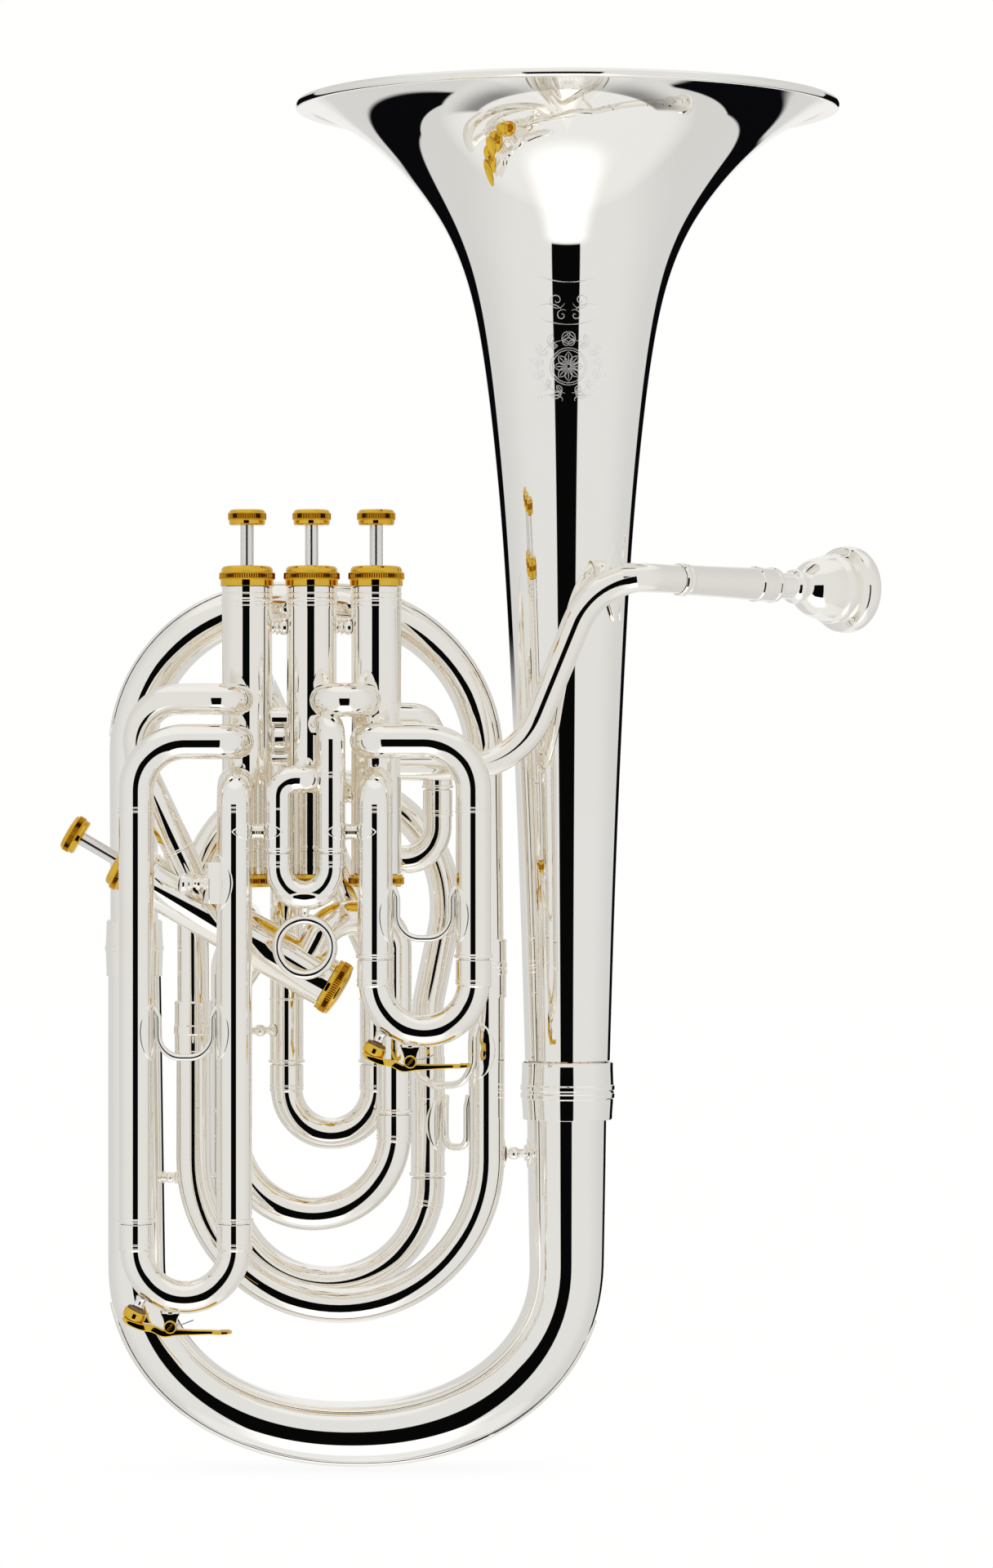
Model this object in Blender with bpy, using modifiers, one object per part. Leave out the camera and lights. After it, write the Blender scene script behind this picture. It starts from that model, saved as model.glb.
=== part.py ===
# Four-valve compensating euphonium with an upright bell. Three upright piston valves stand in a
# row to the left of the bell; a fourth lies below them, its button end rising to the left.
# Frame: +Z up along the bell, +X right, -Y front (the large valve slides), +Y back.
# Dimensions are in millimetres, with the bell's axis at x = y = 0 of the parent empty;
# Blender objects are built in metres.
import math
from typing import NamedTuple

import bmesh
import bpy
from mathutils import Vector

MM = 0.001
UP = (0, 0, 1)

# ---------------------------------------------------------------- driving dimensions
HOME = (46.11, 0.0, 0.256)          # puts the middle of the footprint on the world origin

# Bell: (height, outer radius)
BELL_STATIONS = [
    (209.5, 21.9), (300, 24.7), (400, 29.0), (486, 34.2), (536, 39.0), (575, 44.2), (612, 52.6),
    (637, 63.4), (654, 74.8), (671, 89.9), (683, 104.0), (693, 120.5), (700, 135.5),
]
BELL_WALL = 1.1
BELL_SINGLE_SPANS = 7               # spans from the bottom that stay whole; the rest are halved
RIM_R, RIM_Z, RIM_BEAD = 139.9, 702.0, 2.6

# Valves
VALVE_X = (-97.0, -129.5, -162.0)   # first, second, third
VALVE_Y = -60.0
CASING_R, BORE_R, PISTON_R, STEM_R = 12.6, 10.9, 10.6, 3.4
CASING_TOP, CASING_LENGTH = 450.6, 144.3
CAP_R, CAP_BAND_R, BUTTON_R = 13.2, 14.1, 9.65
CAP_FLOOR = -4.6                    # inner floor of the bottom cap, from the casing's foot
PISTON_FOOT = 30.0                  # piston's lower face, from the casing's foot
TRAVEL = 17.5                       # how far the ports stand above their pressed height
SPRING_R, SPRING_WIRE_R, SPRING_GAP = 8.0, 0.7, 1.2
SPRING_TURNS, SPRING_POINTS_PER_TURN = 4, 7
V4_FOOT = (-121.9, VALVE_Y, 251.4)
V4_RISE = math.radians(30.5)        # above the horizontal, towards the left
V4_LENGTH = 112.0

# Branches: centrelines in plan
LEFT_BRANCH_X = -222.7
RIGHT_BRANCH_X = -41.7
INNER_BRANCH_X = -191.9
BRANCH_Y = -8                       # right and inner branches

# Slides
LEG_R, LEG_WALL, INNER_R = 8.8, 0.6, 7.4
COMP_3_LEG_R = 8.5
LEG_GAP = 0.7                       # open line between a fixed leg and its slide
FRONT_Y = -90.0                     # plane of the three front slides


class Slide(NamedTuple):
    """A U-shaped slide hanging below two fixed legs."""
    left: float                     # x of the two legs
    right: float
    y: float
    joint: float                    # z where the visible outer tube starts
    crook: float                    # z where the U-bend starts
    insert: float                   # length hidden inside the fixed legs
    inner_r: float
    leg_r: float

    @property
    def leg_end(self):
        return self.joint + LEG_GAP


SLIDE_1 = Slide(-97.0, -48.0, FRONT_Y, 264.1, 252.7, 62, INNER_R, LEG_R)
SLIDE_2 = Slide(-145.0, -118.8, FRONT_Y, 316.9, 309.6, 24, 5.75, 7.05)
SLIDE_3 = Slide(-215.8, -167.0, FRONT_Y, 132.6, 118.6, 110, INNER_R, LEG_R)
SLIDE_4 = Slide(-170.0, -88.2, -45.0, 184.4, 175.0, 48, INNER_R, LEG_R)
TUNING = Slide(-175.3, -72.0, 12.0, 148.5, 145.5, 62, INNER_R, LEG_R)
COMP_3 = Slide(-143.4, -97.7, -25.0, 208.7, 196.2, 34, 7.3, COMP_3_LEG_R)
COMP_1 = Slide(-100.4, -66.4, -38.0, 348.6, 330.0, 16, 6.15, 7.5)

RING_Z, RING_R, RING_WIRE_R = 270.4, 13.8, 2.5

# Mouthpiece end
MOUTH_YAW = math.radians(43.0)      # from right towards the back
MOUTH_DIP = math.radians(1.0)
MOUTH_DIRECTION = Vector((math.cos(MOUTH_YAW) * math.cos(MOUTH_DIP),
                          math.sin(MOUTH_YAW) * math.cos(MOUTH_DIP),
                          -math.sin(MOUTH_DIP)))
RECEIVER_AT = Vector((55.3, -31.0, 455.6))
MOUTHPIECE_OFFSET = 30.0            # its small end, along the receiver

# Finishes: base colour, roughness, metallic
LOOKS = {
    "silver": ((0.93, 0.91, 0.88), 0.07, 1.0),
    "satin_silver": ((0.86, 0.84, 0.80), 0.28, 1.0),
    "gold": ((0.83, 0.60, 0.16), 0.22, 1.0),
    "spring_steel": ((0.62, 0.62, 0.64), 0.30, 1.0),
}

# ---------------------------------------------------------------- scene and materials
for old_object in list(bpy.data.objects):
    bpy.data.objects.remove(old_object, do_unlink=True)
for old_collection in list(bpy.data.collections):
    bpy.data.collections.remove(old_collection)

PARTS = bpy.data.collections.new("euphonium")
CUTTERS = bpy.data.collections.new("cutters")
bpy.context.scene.collection.children.link(PARTS)
bpy.context.scene.collection.children.link(CUTTERS)

home = bpy.data.objects.new("horn_home", None)
home.location = Vector(HOME) * MM
PARTS.objects.link(home)


def material(part, look):
    colour, roughness, metallic = LOOKS[look]
    mat = bpy.data.materials.new(part + "_" + look)
    mat.use_nodes = True
    shader = mat.node_tree.nodes["Principled BSDF"]
    shader.inputs["Base Color"].default_value = (*colour, 1.0)
    shader.inputs["Roughness"].default_value = roughness
    shader.inputs["Metallic"].default_value = metallic
    return mat


def attach(obj):
    """Parents an object to the horn and smooths its mesh."""
    obj.parent = home
    if obj.type == 'MESH':
        for face in obj.data.polygons:
            face.use_smooth = True


def place(obj, look="silver"):
    PARTS.objects.link(obj)
    obj.data.materials.append(material(obj.name, look))
    attach(obj)


def combine(target, tool, operation):
    """Adds a Boolean to target and files the tool among the hidden helpers."""
    mod = target.modifiers.new(operation.title(), 'BOOLEAN')
    mod.operation = operation
    mod.solver = 'EXACT'
    mod.object = tool
    CUTTERS.objects.link(tool)
    tool.hide_render = True
    tool.display_type = 'WIRE'
    attach(tool)


# ---------------------------------------------------------------- paths
def path(points, bends, step=30.0):
    """A centreline: straight stretches joined by arcs, one bend radius per inner point.

    step is the largest angle per segment, in degrees; tight bends use 45.
    """
    points = [Vector(p) for p in points]
    line = [points[0]]
    for before, corner, after, radius in zip(points, points[1:], points[2:], bends):
        heading = (corner - before).normalized()
        leaving = (after - corner).normalized()
        turn = heading.angle(leaving)
        start = corner - heading * (radius * math.tan(turn / 2))
        side = (leaving - heading * heading.dot(leaving)).normalized()
        centre = start + side * radius
        count = max(2, math.ceil(math.degrees(turn) / (step if radius >= 20 else 45.0)))
        for k in range(count + 1):
            angle = turn * k / count
            line.append(centre - side * radius * math.cos(angle)
                        + heading * radius * math.sin(angle))
    line.append(points[-1])
    # drop points that fall on top of each other where two arcs meet
    tidy = [line[0]]
    for point in line[1:]:
        if (point - tidy[-1]).length > 0.02:
            tidy.append(point)
    return tidy


def arc_lengths(line):
    """Distance along the line to each of its points."""
    total = [0.0]
    for a, b in zip(line, line[1:]):
        total.append(total[-1] + (b - a).length)
    return total


def interpolate(table, x):
    """Straight-line reading of a (position, value) table, held flat beyond its ends."""
    if x <= table[0][0]:
        return table[0][1]
    for (x0, y0), (x1, y1) in zip(table, table[1:]):
        if x <= x1:
            return y0 + (y1 - y0) * (x - x0) / (x1 - x0)
    return table[-1][1]


def split_path(line, marks):
    """Adds points at the given arc lengths, given in rising order."""
    total = arc_lengths(line)
    out = []
    for a, b, start, end in zip(line, line[1:], total, total[1:]):
        out.append(a)
        for mark in marks:
            if start + 0.05 < mark < end - 0.05:
                out.append(a.lerp(b, (mark - start) / (end - start)))
    out.append(line[-1])
    return out


# ---------------------------------------------------------------- shapes
def swept(name, line, radius, sides=10, caps=False, origin=(0, 0, 0)):
    """A round section swept along a line; radius is a number or an (arc length, radius) list."""
    table = radius if isinstance(radius, list) else [(0, radius)]
    line = split_path(line, [mark for mark, _ in table])
    data = bpy.data.curves.new(name, 'CURVE')
    data.dimensions = '3D'
    data.bevel_depth = MM           # a point radius of 1 is 1 mm
    data.bevel_resolution = (sides - 4) // 2
    data.use_fill_caps = caps
    data.render_resolution_u = 0
    data.resolution_u = 1
    spline = data.splines.new('POLY')
    spline.points.add(len(line) - 1)
    origin = Vector(origin)
    for knot, point, distance in zip(spline.points, line, arc_lengths(line)):
        knot.co = (*((point - origin) * MM), 1.0)
        knot.radius = interpolate(table, distance)
    spline.use_smooth = True
    obj = bpy.data.objects.new(name, data)
    obj.location = origin * MM
    return obj


def open_tube(name, line, radius, wall=LEG_WALL, **options):
    """A placed silver tube, open at both ends; radius is the outer one."""
    obj = swept(name, line, radius, **options)
    mod = obj.modifiers.new("Wall", 'SOLIDIFY')
    mod.thickness = wall * MM
    mod.offset = -1.0
    mod.use_even_offset = True
    mod.use_rim = True
    place(obj)


def solid_bar(name, line, radius, **options):
    """A capped bar as a welded mesh, which Booleans can use."""
    curve = swept(name, line, radius, caps=True, **options)
    bpy.context.scene.collection.objects.link(curve)
    bpy.context.view_layer.update()
    graph = bpy.context.evaluated_depsgraph_get()
    mesh = bpy.data.meshes.new_from_object(curve.evaluated_get(graph))
    bm = bmesh.new()
    bm.from_mesh(mesh)
    bmesh.ops.remove_doubles(bm, verts=bm.verts, dist=1e-6)
    bm.to_mesh(mesh)
    bm.free()
    world = curve.matrix_world.copy()
    bpy.data.objects.remove(curve, do_unlink=True)
    bar = bpy.data.objects.new(name, mesh)
    bar.matrix_world = world
    return bar


def turned(name, profile, steps=16, at=(0, 0, 0), direction=UP):
    """Spins (radius, height) points round the object's own +Z.

    A profile that starts on the axis also ends there; any other is closed into a loop.
    """
    area = sum(a[0] * b[1] - b[0] * a[1] for a, b in zip(profile, profile[1:] + profile[:1]))
    if area > 0:                    # the outer side has to run from top to bottom
        profile = profile[::-1]
    verts = [(r * MM, 0.0, z * MM) for r, z in profile]
    edges = [(i, i + 1) for i in range(len(verts) - 1)]
    if profile[0][0] > 0:
        edges.append((len(verts) - 1, 0))
    mesh = bpy.data.meshes.new(name)
    mesh.from_pydata(verts, edges, [])
    obj = bpy.data.objects.new(name, mesh)
    mod = obj.modifiers.new("Screw", 'SCREW')
    mod.steps = steps
    mod.render_steps = steps
    mod.use_merge_vertices = True
    mod.merge_threshold = 1e-6
    mod.use_smooth_shade = True
    obj.location = Vector(at) * MM
    obj.rotation_mode = 'QUATERNION'
    obj.rotation_quaternion = Vector(UP).rotation_difference(Vector(direction).normalized())
    return obj


# ---------------------------------------------------------------- bell
def bell_outline():
    """Outer (radius, height) points: a smooth cubic through the stations."""
    outline = []
    last = len(BELL_STATIONS) - 1
    for i in range(last):
        (z0, r0), (z1, r1), (z2, r2), (z3, r3) = (
            BELL_STATIONS[min(max(i + k, 0), last)] for k in (-1, 0, 1, 2))
        span = z2 - z1
        slope_1 = (r2 - r0) / (z2 - z0) * span
        slope_2 = (r3 - r1) / (z3 - z1) * span
        for t in (0.0,) if i < BELL_SINGLE_SPANS else (0.0, 0.5):
            radius = ((2 * t**3 - 3 * t**2 + 1) * r1 + (t**3 - 2 * t**2 + t) * slope_1
                      + (-2 * t**3 + 3 * t**2) * r2 + (t**3 - t**2) * slope_2)
            outline.append((radius, z1 + t * span))
    z, r = BELL_STATIONS[-1]
    outline.append((r, z))
    return outline


def bell():
    outer = bell_outline()
    inner = []
    for i, (r, z) in enumerate(outer):
        below, above = outer[max(i - 1, 0)], outer[min(i + 1, len(outer) - 1)]
        along = Vector((above[0] - below[0], above[1] - below[1])).normalized()
        # the lowest point moves only sideways, so that the bottom edge stays level
        rise = BELL_WALL * along.x if i > 0 else 0.0
        inner.append((r - BELL_WALL * along.y, z + rise))
    inner[-1] = (inner[-1][0] - 0.4, min(inner[-1][1], RIM_Z - 1.0))
    lip = [(RIM_R - RIM_BEAD * 0.9, RIM_Z - 2 * RIM_BEAD + 0.6),
           (RIM_R, RIM_Z - RIM_BEAD * 1.3),
           (RIM_R, RIM_Z - RIM_BEAD * 0.5),
           (RIM_R - RIM_BEAD * 0.5, RIM_Z),
           (RIM_R - RIM_BEAD * 1.6, RIM_Z)]
    place(turned("bell", outer + lip + inner[::-1], steps=28))


bell()

# ---------------------------------------------------------------- ferrules
# name, steps, (x, y), profile of (radius, height)
FERRULES = [
    ("bell_ferrule", 24, (0, 0),
     [(23.4, 208.6), (24.1, 198), (24.35, 196), (24.35, 191), (23.9, 189), (22.9, 179.2),
      (21.5, 179.2), (22.5, 192), (22.5, 208.6)]),
    ("left_ferrule", 16, (LEFT_BRANCH_X, 0),
     [(13.4, 281.8), (15.1, 268), (15.2, 265.5), (15.0, 264), (14.4, 252.8), (13.95, 252.8),
      (13.95, 266.4), (12.9, 267.5), (12.9, 281.8)]),
    ("right_ferrule", 18, (RIGHT_BRANCH_X, BRANCH_Y),
     [(10.0, 272), (10.7, 260), (10.75, 256.5), (10.2, 255), (10.0, 242), (9.75, 242),
      (9.75, 272)]),
    ("inner_ferrule", 18, (INNER_BRANCH_X, BRANCH_Y),
     [(9.5, 240.2), (9.95, 228), (10.0, 224), (9.6, 222.5), (9.35, 213.4), (9.15, 213.4),
      (9.15, 240.2)]),
]
for name, steps, (x, y), profile in FERRULES:
    place(turned(name, profile, steps=steps, at=(x, y, 0)))

# ---------------------------------------------------------------- main bows
# The radius tables are (arc length, outer radius).
# left branch, down and round to the bell
BOTTOM_BOW = path([(LEFT_BRANCH_X, 0, 266), (-221.5, 0, 18.6), (-0.4, 0, 18.6), (-0.4, 0, 209.0)],
                  [94.0, 92.0], step=18)
BOTTOM_LENGTH = arc_lengths(BOTTOM_BOW)[-1]
BOTTOM_RADII = [(0, 13.3), (14, 13.6), (BOTTOM_LENGTH * 0.5, 15.9), (BOTTOM_LENGTH - 70, 19.8),
                (BOTTOM_LENGTH, 20.9)]
open_tube("bottom_bow", BOTTOM_BOW, BOTTOM_RADII, wall=1.0, sides=12)

# left branch, up and over to the right branch
TOP_BOW = path([(LEFT_BRANCH_X, 0, 266.8), (-223.6, 0, 443.5), (-44.2, BRANCH_Y, 443.5),
                (RIGHT_BRANCH_X, BRANCH_Y, 258)], [76.0, 79.0], step=18)
TOP_LENGTH = arc_lengths(TOP_BOW)[-1]
TOP_RADII = [(0, 12.3), (150, 12.1), (TOP_LENGTH - 180, 10.2), (TOP_LENGTH - 60, 9.3),
             (TOP_LENGTH, 9.0)]
open_tube("top_bow", TOP_BOW, TOP_RADII, wall=0.9, sides=12)


def second_bow():
    """Right branch, down and round to the inner branch."""
    right = -41.6
    low = 84
    line = path([(right, BRANCH_Y, 257.4), (right, BRANCH_Y, low), (INNER_BRANCH_X, BRANCH_Y, low),
                 (INNER_BRANCH_X, BRANCH_Y, 226.0)], [75.1, 75.1], step=18)
    open_tube("second_bow", line, [(0, 9.3), (arc_lengths(line)[-1], 8.7)], wall=0.8)


def inner_top_bow():
    """Inner branch, over to the right and down into the tuning slide's right leg."""
    top = 352
    right = -62.9
    line = path([(INNER_BRANCH_X, BRANCH_Y, 226.6), (-192.6, BRANCH_Y, top),
                 (right, TUNING.y - 3, top), (right, TUNING.y, 282), (TUNING.right, TUNING.y, 238),
                 (TUNING.right, TUNING.y, TUNING.leg_end)], [63.5, 63.5, 40, 40], step=24)
    length = arc_lengths(line)[-1]
    open_tube("inner_top_bow", line, [(0, 8.2), (150, 8.0), (length - 90, 8.2),
                                      (length - 60, LEG_R)])


second_bow()
inner_top_bow()


def guard(name, line, radii, start, end, half_width, thickness, side):
    """A strip along the outer edge of a bow, between two arc lengths, clear of the tube.

    side is +1 or -1, whichever turns the strip to the outside of the bend.
    """
    clearance = 0.45
    cells = 4                       # across the width
    across = Vector((0, 1, 0))
    line = split_path(line, [start, end])
    mesh = bpy.data.meshes.new(name)
    bm = bmesh.new()
    rows = []
    for i, (point, distance) in enumerate(zip(line, arc_lengths(line))):
        if not start - 0.01 <= distance <= end + 0.01:
            continue
        before, after = line[max(i - 1, 0)], line[min(i + 1, len(line) - 1)]
        outward = ((after - before).normalized().cross(across) * side).normalized()
        radius = interpolate(radii, distance)
        row = []
        for k in range(cells + 1):
            angle = half_width / radius * (2 * k / cells - 1)
            offset = outward * math.cos(angle) + across * math.sin(angle)
            row.append(bm.verts.new((point + offset * (radius + clearance)) * MM))
        rows.append(row)
    for row, following in zip(rows, rows[1:]):
        for k in range(cells):
            bm.faces.new((row[k], following[k], following[k + 1], row[k + 1]))
    # all normals have to face away from the bow, because the strip thickens along them
    bmesh.ops.recalc_face_normals(bm, faces=bm.faces)
    faces = bm.faces[:]
    middle = sum((v.co for v in bm.verts), Vector()) / len(bm.verts)
    if sum((face.calc_center_median() - middle).dot(face.normal) for face in faces) < 0:
        bmesh.ops.reverse_faces(bm, faces=faces)
    bm.to_mesh(mesh)
    bm.free()
    obj = bpy.data.objects.new(name, mesh)
    mod = obj.modifiers.new("Thick", 'SOLIDIFY')
    mod.thickness = thickness * MM
    mod.offset = 1.0
    place(obj)


guard("bottom_bow_guard", BOTTOM_BOW, BOTTOM_RADII, start=178, end=BOTTOM_LENGTH - 128,
      half_width=7.0, thickness=1.7, side=-1.0)
guard("top_bow_guard", TOP_BOW, TOP_RADII, start=108, end=TOP_LENGTH - 106,
      half_width=5.0, thickness=1.5, side=1.0)


# ---------------------------------------------------------------- valves
class Valve(NamedTuple):
    """One valve, standing on foot along axis; heights are measured from the foot."""
    number: int
    foot: tuple                     # centre of the casing's lower end
    axis: tuple
    length: float                   # of the casing
    piston_top: float
    ports: tuple                    # heights of the cross holes in the piston
    port_r: float


UPRIGHT_VALVES = [
    Valve(number, (x, VALVE_Y, CASING_TOP - CASING_LENGTH), UP, CASING_LENGTH,
          piston_top=122.0, ports=(45.7 + TRAVEL, 66.7 + TRAVEL), port_r=7.0)
    for number, x in enumerate(VALVE_X, start=1)
]
VALVE_4 = Valve(4, V4_FOOT, (-math.cos(V4_RISE), 0.0, math.sin(V4_RISE)), V4_LENGTH,
                piston_top=V4_LENGTH - 22.0, ports=(PISTON_FOOT + 10.0, 80.5), port_r=7.2)


def turned_on(valve, name, profile):
    return turned(name, profile, at=valve.foot, direction=valve.axis)


def caps(valve):
    top = valve.length
    place(turned_on(valve, f"top_cap_{valve.number}", [
        (3.9, top + 10.6), (12.2, top + 10.6), (CAP_BAND_R, top + 7.2), (CAP_BAND_R, top + 3.4),
        (CAP_R, top + 0.3), (10.6, top + 0.3), (10.6, top - 3.5), (9.2, top - 3.5),
        (9.2, top + 7.2), (3.9, top + 7.2)]), "gold")
    place(turned_on(valve, f"bottom_cap_{valve.number}", [
        (0, CAP_FLOOR), (9.2, CAP_FLOOR), (9.2, 4.0), (10.6, 4.0), (10.6, -0.3), (13.8, -0.3),
        (14.0, -5.4), (12.8, -7.0), (0, -7.0)]), "gold")


def piston(valve):
    """Piston and stem, with two cross holes from front to back."""
    name = f"piston_{valve.number}"
    stem_top = valve.length + 30.5
    body = turned_on(valve, name, [
        (0, stem_top), (STEM_R, stem_top), (STEM_R, valve.piston_top + 1.0),
        (6.0, valve.piston_top), (PISTON_R, valve.piston_top), (PISTON_R, PISTON_FOOT),
        (0, PISTON_FOOT)])
    reach = Vector((0, 20, 0))
    for k, height in enumerate(valve.ports, start=1):
        middle = Vector(valve.foot) + Vector(valve.axis).normalized() * height
        port = solid_bar(f"{name}_port_{k}", [middle + reach, middle - reach], valve.port_r)
        combine(body, port, 'DIFFERENCE')
    place(body, "satin_silver")


def finger_button(valve):
    top = valve.length
    place(turned_on(valve, f"finger_button_{valve.number}", [
        (0, top + 38.4), (6.5, top + 38.4), (8.9, top + 39.0), (BUTTON_R, top + 38.3),
        (BUTTON_R, top + 32.0), (8.9, top + 30.9), (0, top + 30.9)]), "gold")


def spring(valve):
    """A wire coil between the bottom cap and the piston."""
    turn_to_axis = Vector(UP).rotation_difference(Vector(valve.axis).normalized())
    rise = PISTON_FOOT - CAP_FLOOR - 2 * SPRING_GAP
    count = SPRING_TURNS * SPRING_POINTS_PER_TURN
    line = []
    for k in range(count + 1):
        angle = 2 * math.pi * k / SPRING_POINTS_PER_TURN
        point = Vector((SPRING_R * math.cos(angle), SPRING_R * math.sin(angle),
                        CAP_FLOOR + SPRING_GAP + rise * k / count))
        line.append(Vector(valve.foot) + turn_to_axis @ point)
    place(swept(f"spring_{valve.number}", line, SPRING_WIRE_R, sides=4, caps=True),
          "spring_steel")


def casing(valve, fittings):
    """Joins (solid, bore or None) fittings to the casing; every union comes before any bore."""
    name = f"casing_{valve.number}"
    body = turned_on(valve, name, [(0, valve.length), (CASING_R, valve.length), (CASING_R, 0),
                                   (0, 0)])
    for solid, _ in fittings:
        combine(body, solid, 'UNION')
    for _, bore in fittings:
        if bore:
            combine(body, bore, 'DIFFERENCE')
    past = 5                        # the main bore overshoots both ends
    main_bore = turned_on(valve, name + "_bore", [
        (0, valve.length + past), (BORE_R, valve.length + past), (BORE_R, -past), (0, -past)])
    combine(body, main_bore, 'DIFFERENCE')
    place(body)


def valve_set(valve, fittings):
    caps(valve)
    piston(valve)
    finger_button(valve)
    spring(valve)
    casing(valve, fittings)


def tube_fitting(name, line, radius, wall=LEG_WALL):
    """A tube for a casing; its bore overshoots the far end."""
    overshoot = line[-1] + (line[-1] - line[-2]).normalized() * 3.0
    return (solid_bar(name + "_out", line, radius, sides=8),
            solid_bar(name + "_bore", line[:-1] + [overshoot], radius - wall, sides=8))


def front_slide_legs(number, slide, far_x, near_x, start_x, start_z, bend, wire_x, wire_z):
    """Both legs of a front slide and the bent wire between them.

    The upper leg starts at (start_x, start_z) and crosses to far_x; the lower one drops at near_x.
    wire_x is the left of the wire's dip, wire_z the height of the wire's ends.
    """
    name = f"slide_{number}"
    y, end, lower_z = slide.y, slide.leg_end, 351.8
    upper = path([(start_x, VALVE_Y, start_z), (start_x, y, start_z), (far_x, y, start_z),
                  (far_x, y, end)], [10, bend])
    lower = path([(near_x, VALVE_Y, lower_z), (near_x, y, lower_z), (near_x, y, end)], [12])
    inset, shoulder, dip = 6.5, wire_z - 3, wire_z - 20.5
    wire = path([(slide.left + inset, y, wire_z), (wire_x, y, shoulder), (wire_x + 2, y, dip),
                 (wire_x + 19, y, dip), (wire_x + 21, y, shoulder),
                 (slide.right - inset, y, wire_z)], [4, 6, 6, 4])
    return [tube_fitting(name + "_upper", upper, slide.leg_r),
            tube_fitting(name + "_lower", lower, slide.leg_r),
            (solid_bar(name + "_wire", wire, 1.75, sides=8), None)]


def fittings_1():
    """Front slide legs, and the right leg of the small slide behind."""
    comp_right = path([(-97, -59, 385), (-74, -55, 385), (COMP_1.right, COMP_1.y, 371),
                       (COMP_1.right, COMP_1.y, COMP_1.leg_end)], [10, 8])
    return front_slide_legs(1, SLIDE_1, far_x=SLIDE_1.right, near_x=SLIDE_1.left, start_x=-101,
                            start_z=373, bend=24.6, wire_x=-83, wire_z=295) + [
        tube_fitting("comp_1_right", comp_right, COMP_1.leg_r)]


def fittings_2():
    """Front slide legs, and a short fat bend in front between the second and first casings."""
    y, end = SLIDE_2.y, SLIDE_2.leg_end
    right = path([(-127, VALVE_Y, 381.6), (SLIDE_2.right, y, 381.6), (SLIDE_2.right, y, end)], [9])
    left = path([(-129, VALVE_Y, 357.6), (-129, y, 357.6), (SLIDE_2.left, y, 350),
                 (SLIDE_2.left, y, end)], [7.5, 10])
    crossover = path([(-121.4, -63, 393.4), (-121.4, -87.3, 393.4), (-102.4, -87.3, 393.4),
                      (-102.4, -73.1, 393.4)], [9.45, 9.45])
    return [tube_fitting("slide_2_right", right, SLIDE_2.leg_r),
            tube_fitting("slide_2_left", left, SLIDE_2.leg_r),
            tube_fitting("crossover_1_2", crossover, 8.4, wall=0.8)]


def fittings_3():
    """Front slide legs, and two short knuckles that reach towards the second casing."""
    knuckles = [(solid_bar(f"knuckle_{k}", [Vector((-153.5, -57, z)), Vector((-142.5, -57, z))],
                           radius), None)
                for k, z, radius in ((1, 385.0, 5.7), (2, 364.7, 3.8))]
    return front_slide_legs(3, SLIDE_3, far_x=SLIDE_3.left, near_x=SLIDE_3.right, start_x=-166.5,
                            start_z=372.6, bend=24.4, wire_x=-202, wire_z=236) + knuckles


def fittings_4():
    """A link up to the front of the third valve, and both slide legs."""
    y, end = SLIDE_4.y, SLIDE_4.leg_end
    link = path([(-181, -62, 286), (-213.5, -69, 356), (-219.5, -74, 393.8), (-166, -86, 393.8),
                 (-166, -73.1, 393.8)], [30, 22, 8])
    left = path([(-156, VALVE_Y, 271.5), (SLIDE_4.left, y, 250), (SLIDE_4.left, y, end)], [18])
    right = path([(-134, VALVE_Y, 259), (-121, -62, 284), (SLIDE_4.right, y, 284),
                  (SLIDE_4.right, y, end)], [16, 16])
    return [tube_fitting("link_3_4", link, 7.5, wall=0.7),
            tube_fitting("slide_4_left", left, SLIDE_4.leg_r),
            tube_fitting("slide_4_right", right, SLIDE_4.leg_r)]


valve_set(UPRIGHT_VALVES[0], fittings_1())
valve_set(UPRIGHT_VALVES[1], fittings_2())
valve_set(UPRIGHT_VALVES[2], fittings_3())
valve_set(VALVE_4, fittings_4())

# ---------------------------------------------------------------- separate legs behind the valves
# name, slide, x of its leg, points above the leg's end, bend radii
SEPARATE_LEGS = [
    ("tuning_leg", TUNING, TUNING.left,
     [(-166, -45.5, 283), (-166, 8, 283), (TUNING.left, TUNING.y, 258)], [16, 16]),
    ("comp_3_left_leg", COMP_3, COMP_3.left,
     [(-158, -46.6, 404), (-158, -24, 404), (COMP_3.left, COMP_3.y, 370)], [14, 20]),
    ("comp_3_right_leg", COMP_3, COMP_3.right,
     [(-126, -46.4, 376), (-126, -24, 376), (-122, COMP_3.y, 318),
      (COMP_3.right, COMP_3.y, 262)], [12, 30, 30]),
    ("comp_1_left_leg", COMP_1, COMP_1.left,
     [(-99.5, -46.4, 377.5), (COMP_1.left, COMP_1.y, 377.5)], [8]),
]
for name, slide, x, points, bends in SEPARATE_LEGS:
    open_tube(name, path(points + [(x, slide.y, slide.leg_end)], bends), slide.leg_r)


# ---------------------------------------------------------------- sliding bows
def slide_bow(name, slide):
    """Two thin legs that run up into the fixed legs, and the thicker U-bend below them."""
    half = (slide.right - slide.left) / 2
    top = slide.joint + slide.insert
    bottom = slide.crook - half
    line = path([(slide.left, slide.y, top), (slide.left, slide.y, bottom),
                 (slide.right, slide.y, bottom), (slide.right, slide.y, top)], [half, half])
    total = arc_lengths(line)[-1]
    radii = [(0, slide.inner_r), (slide.insert, slide.inner_r), (slide.insert + 0.3, slide.leg_r)]
    radii += [(total - distance, radius) for distance, radius in reversed(radii)]
    open_tube(name, line, radii, sides=8, origin=(slide.left + half, slide.y, slide.crook))


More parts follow.
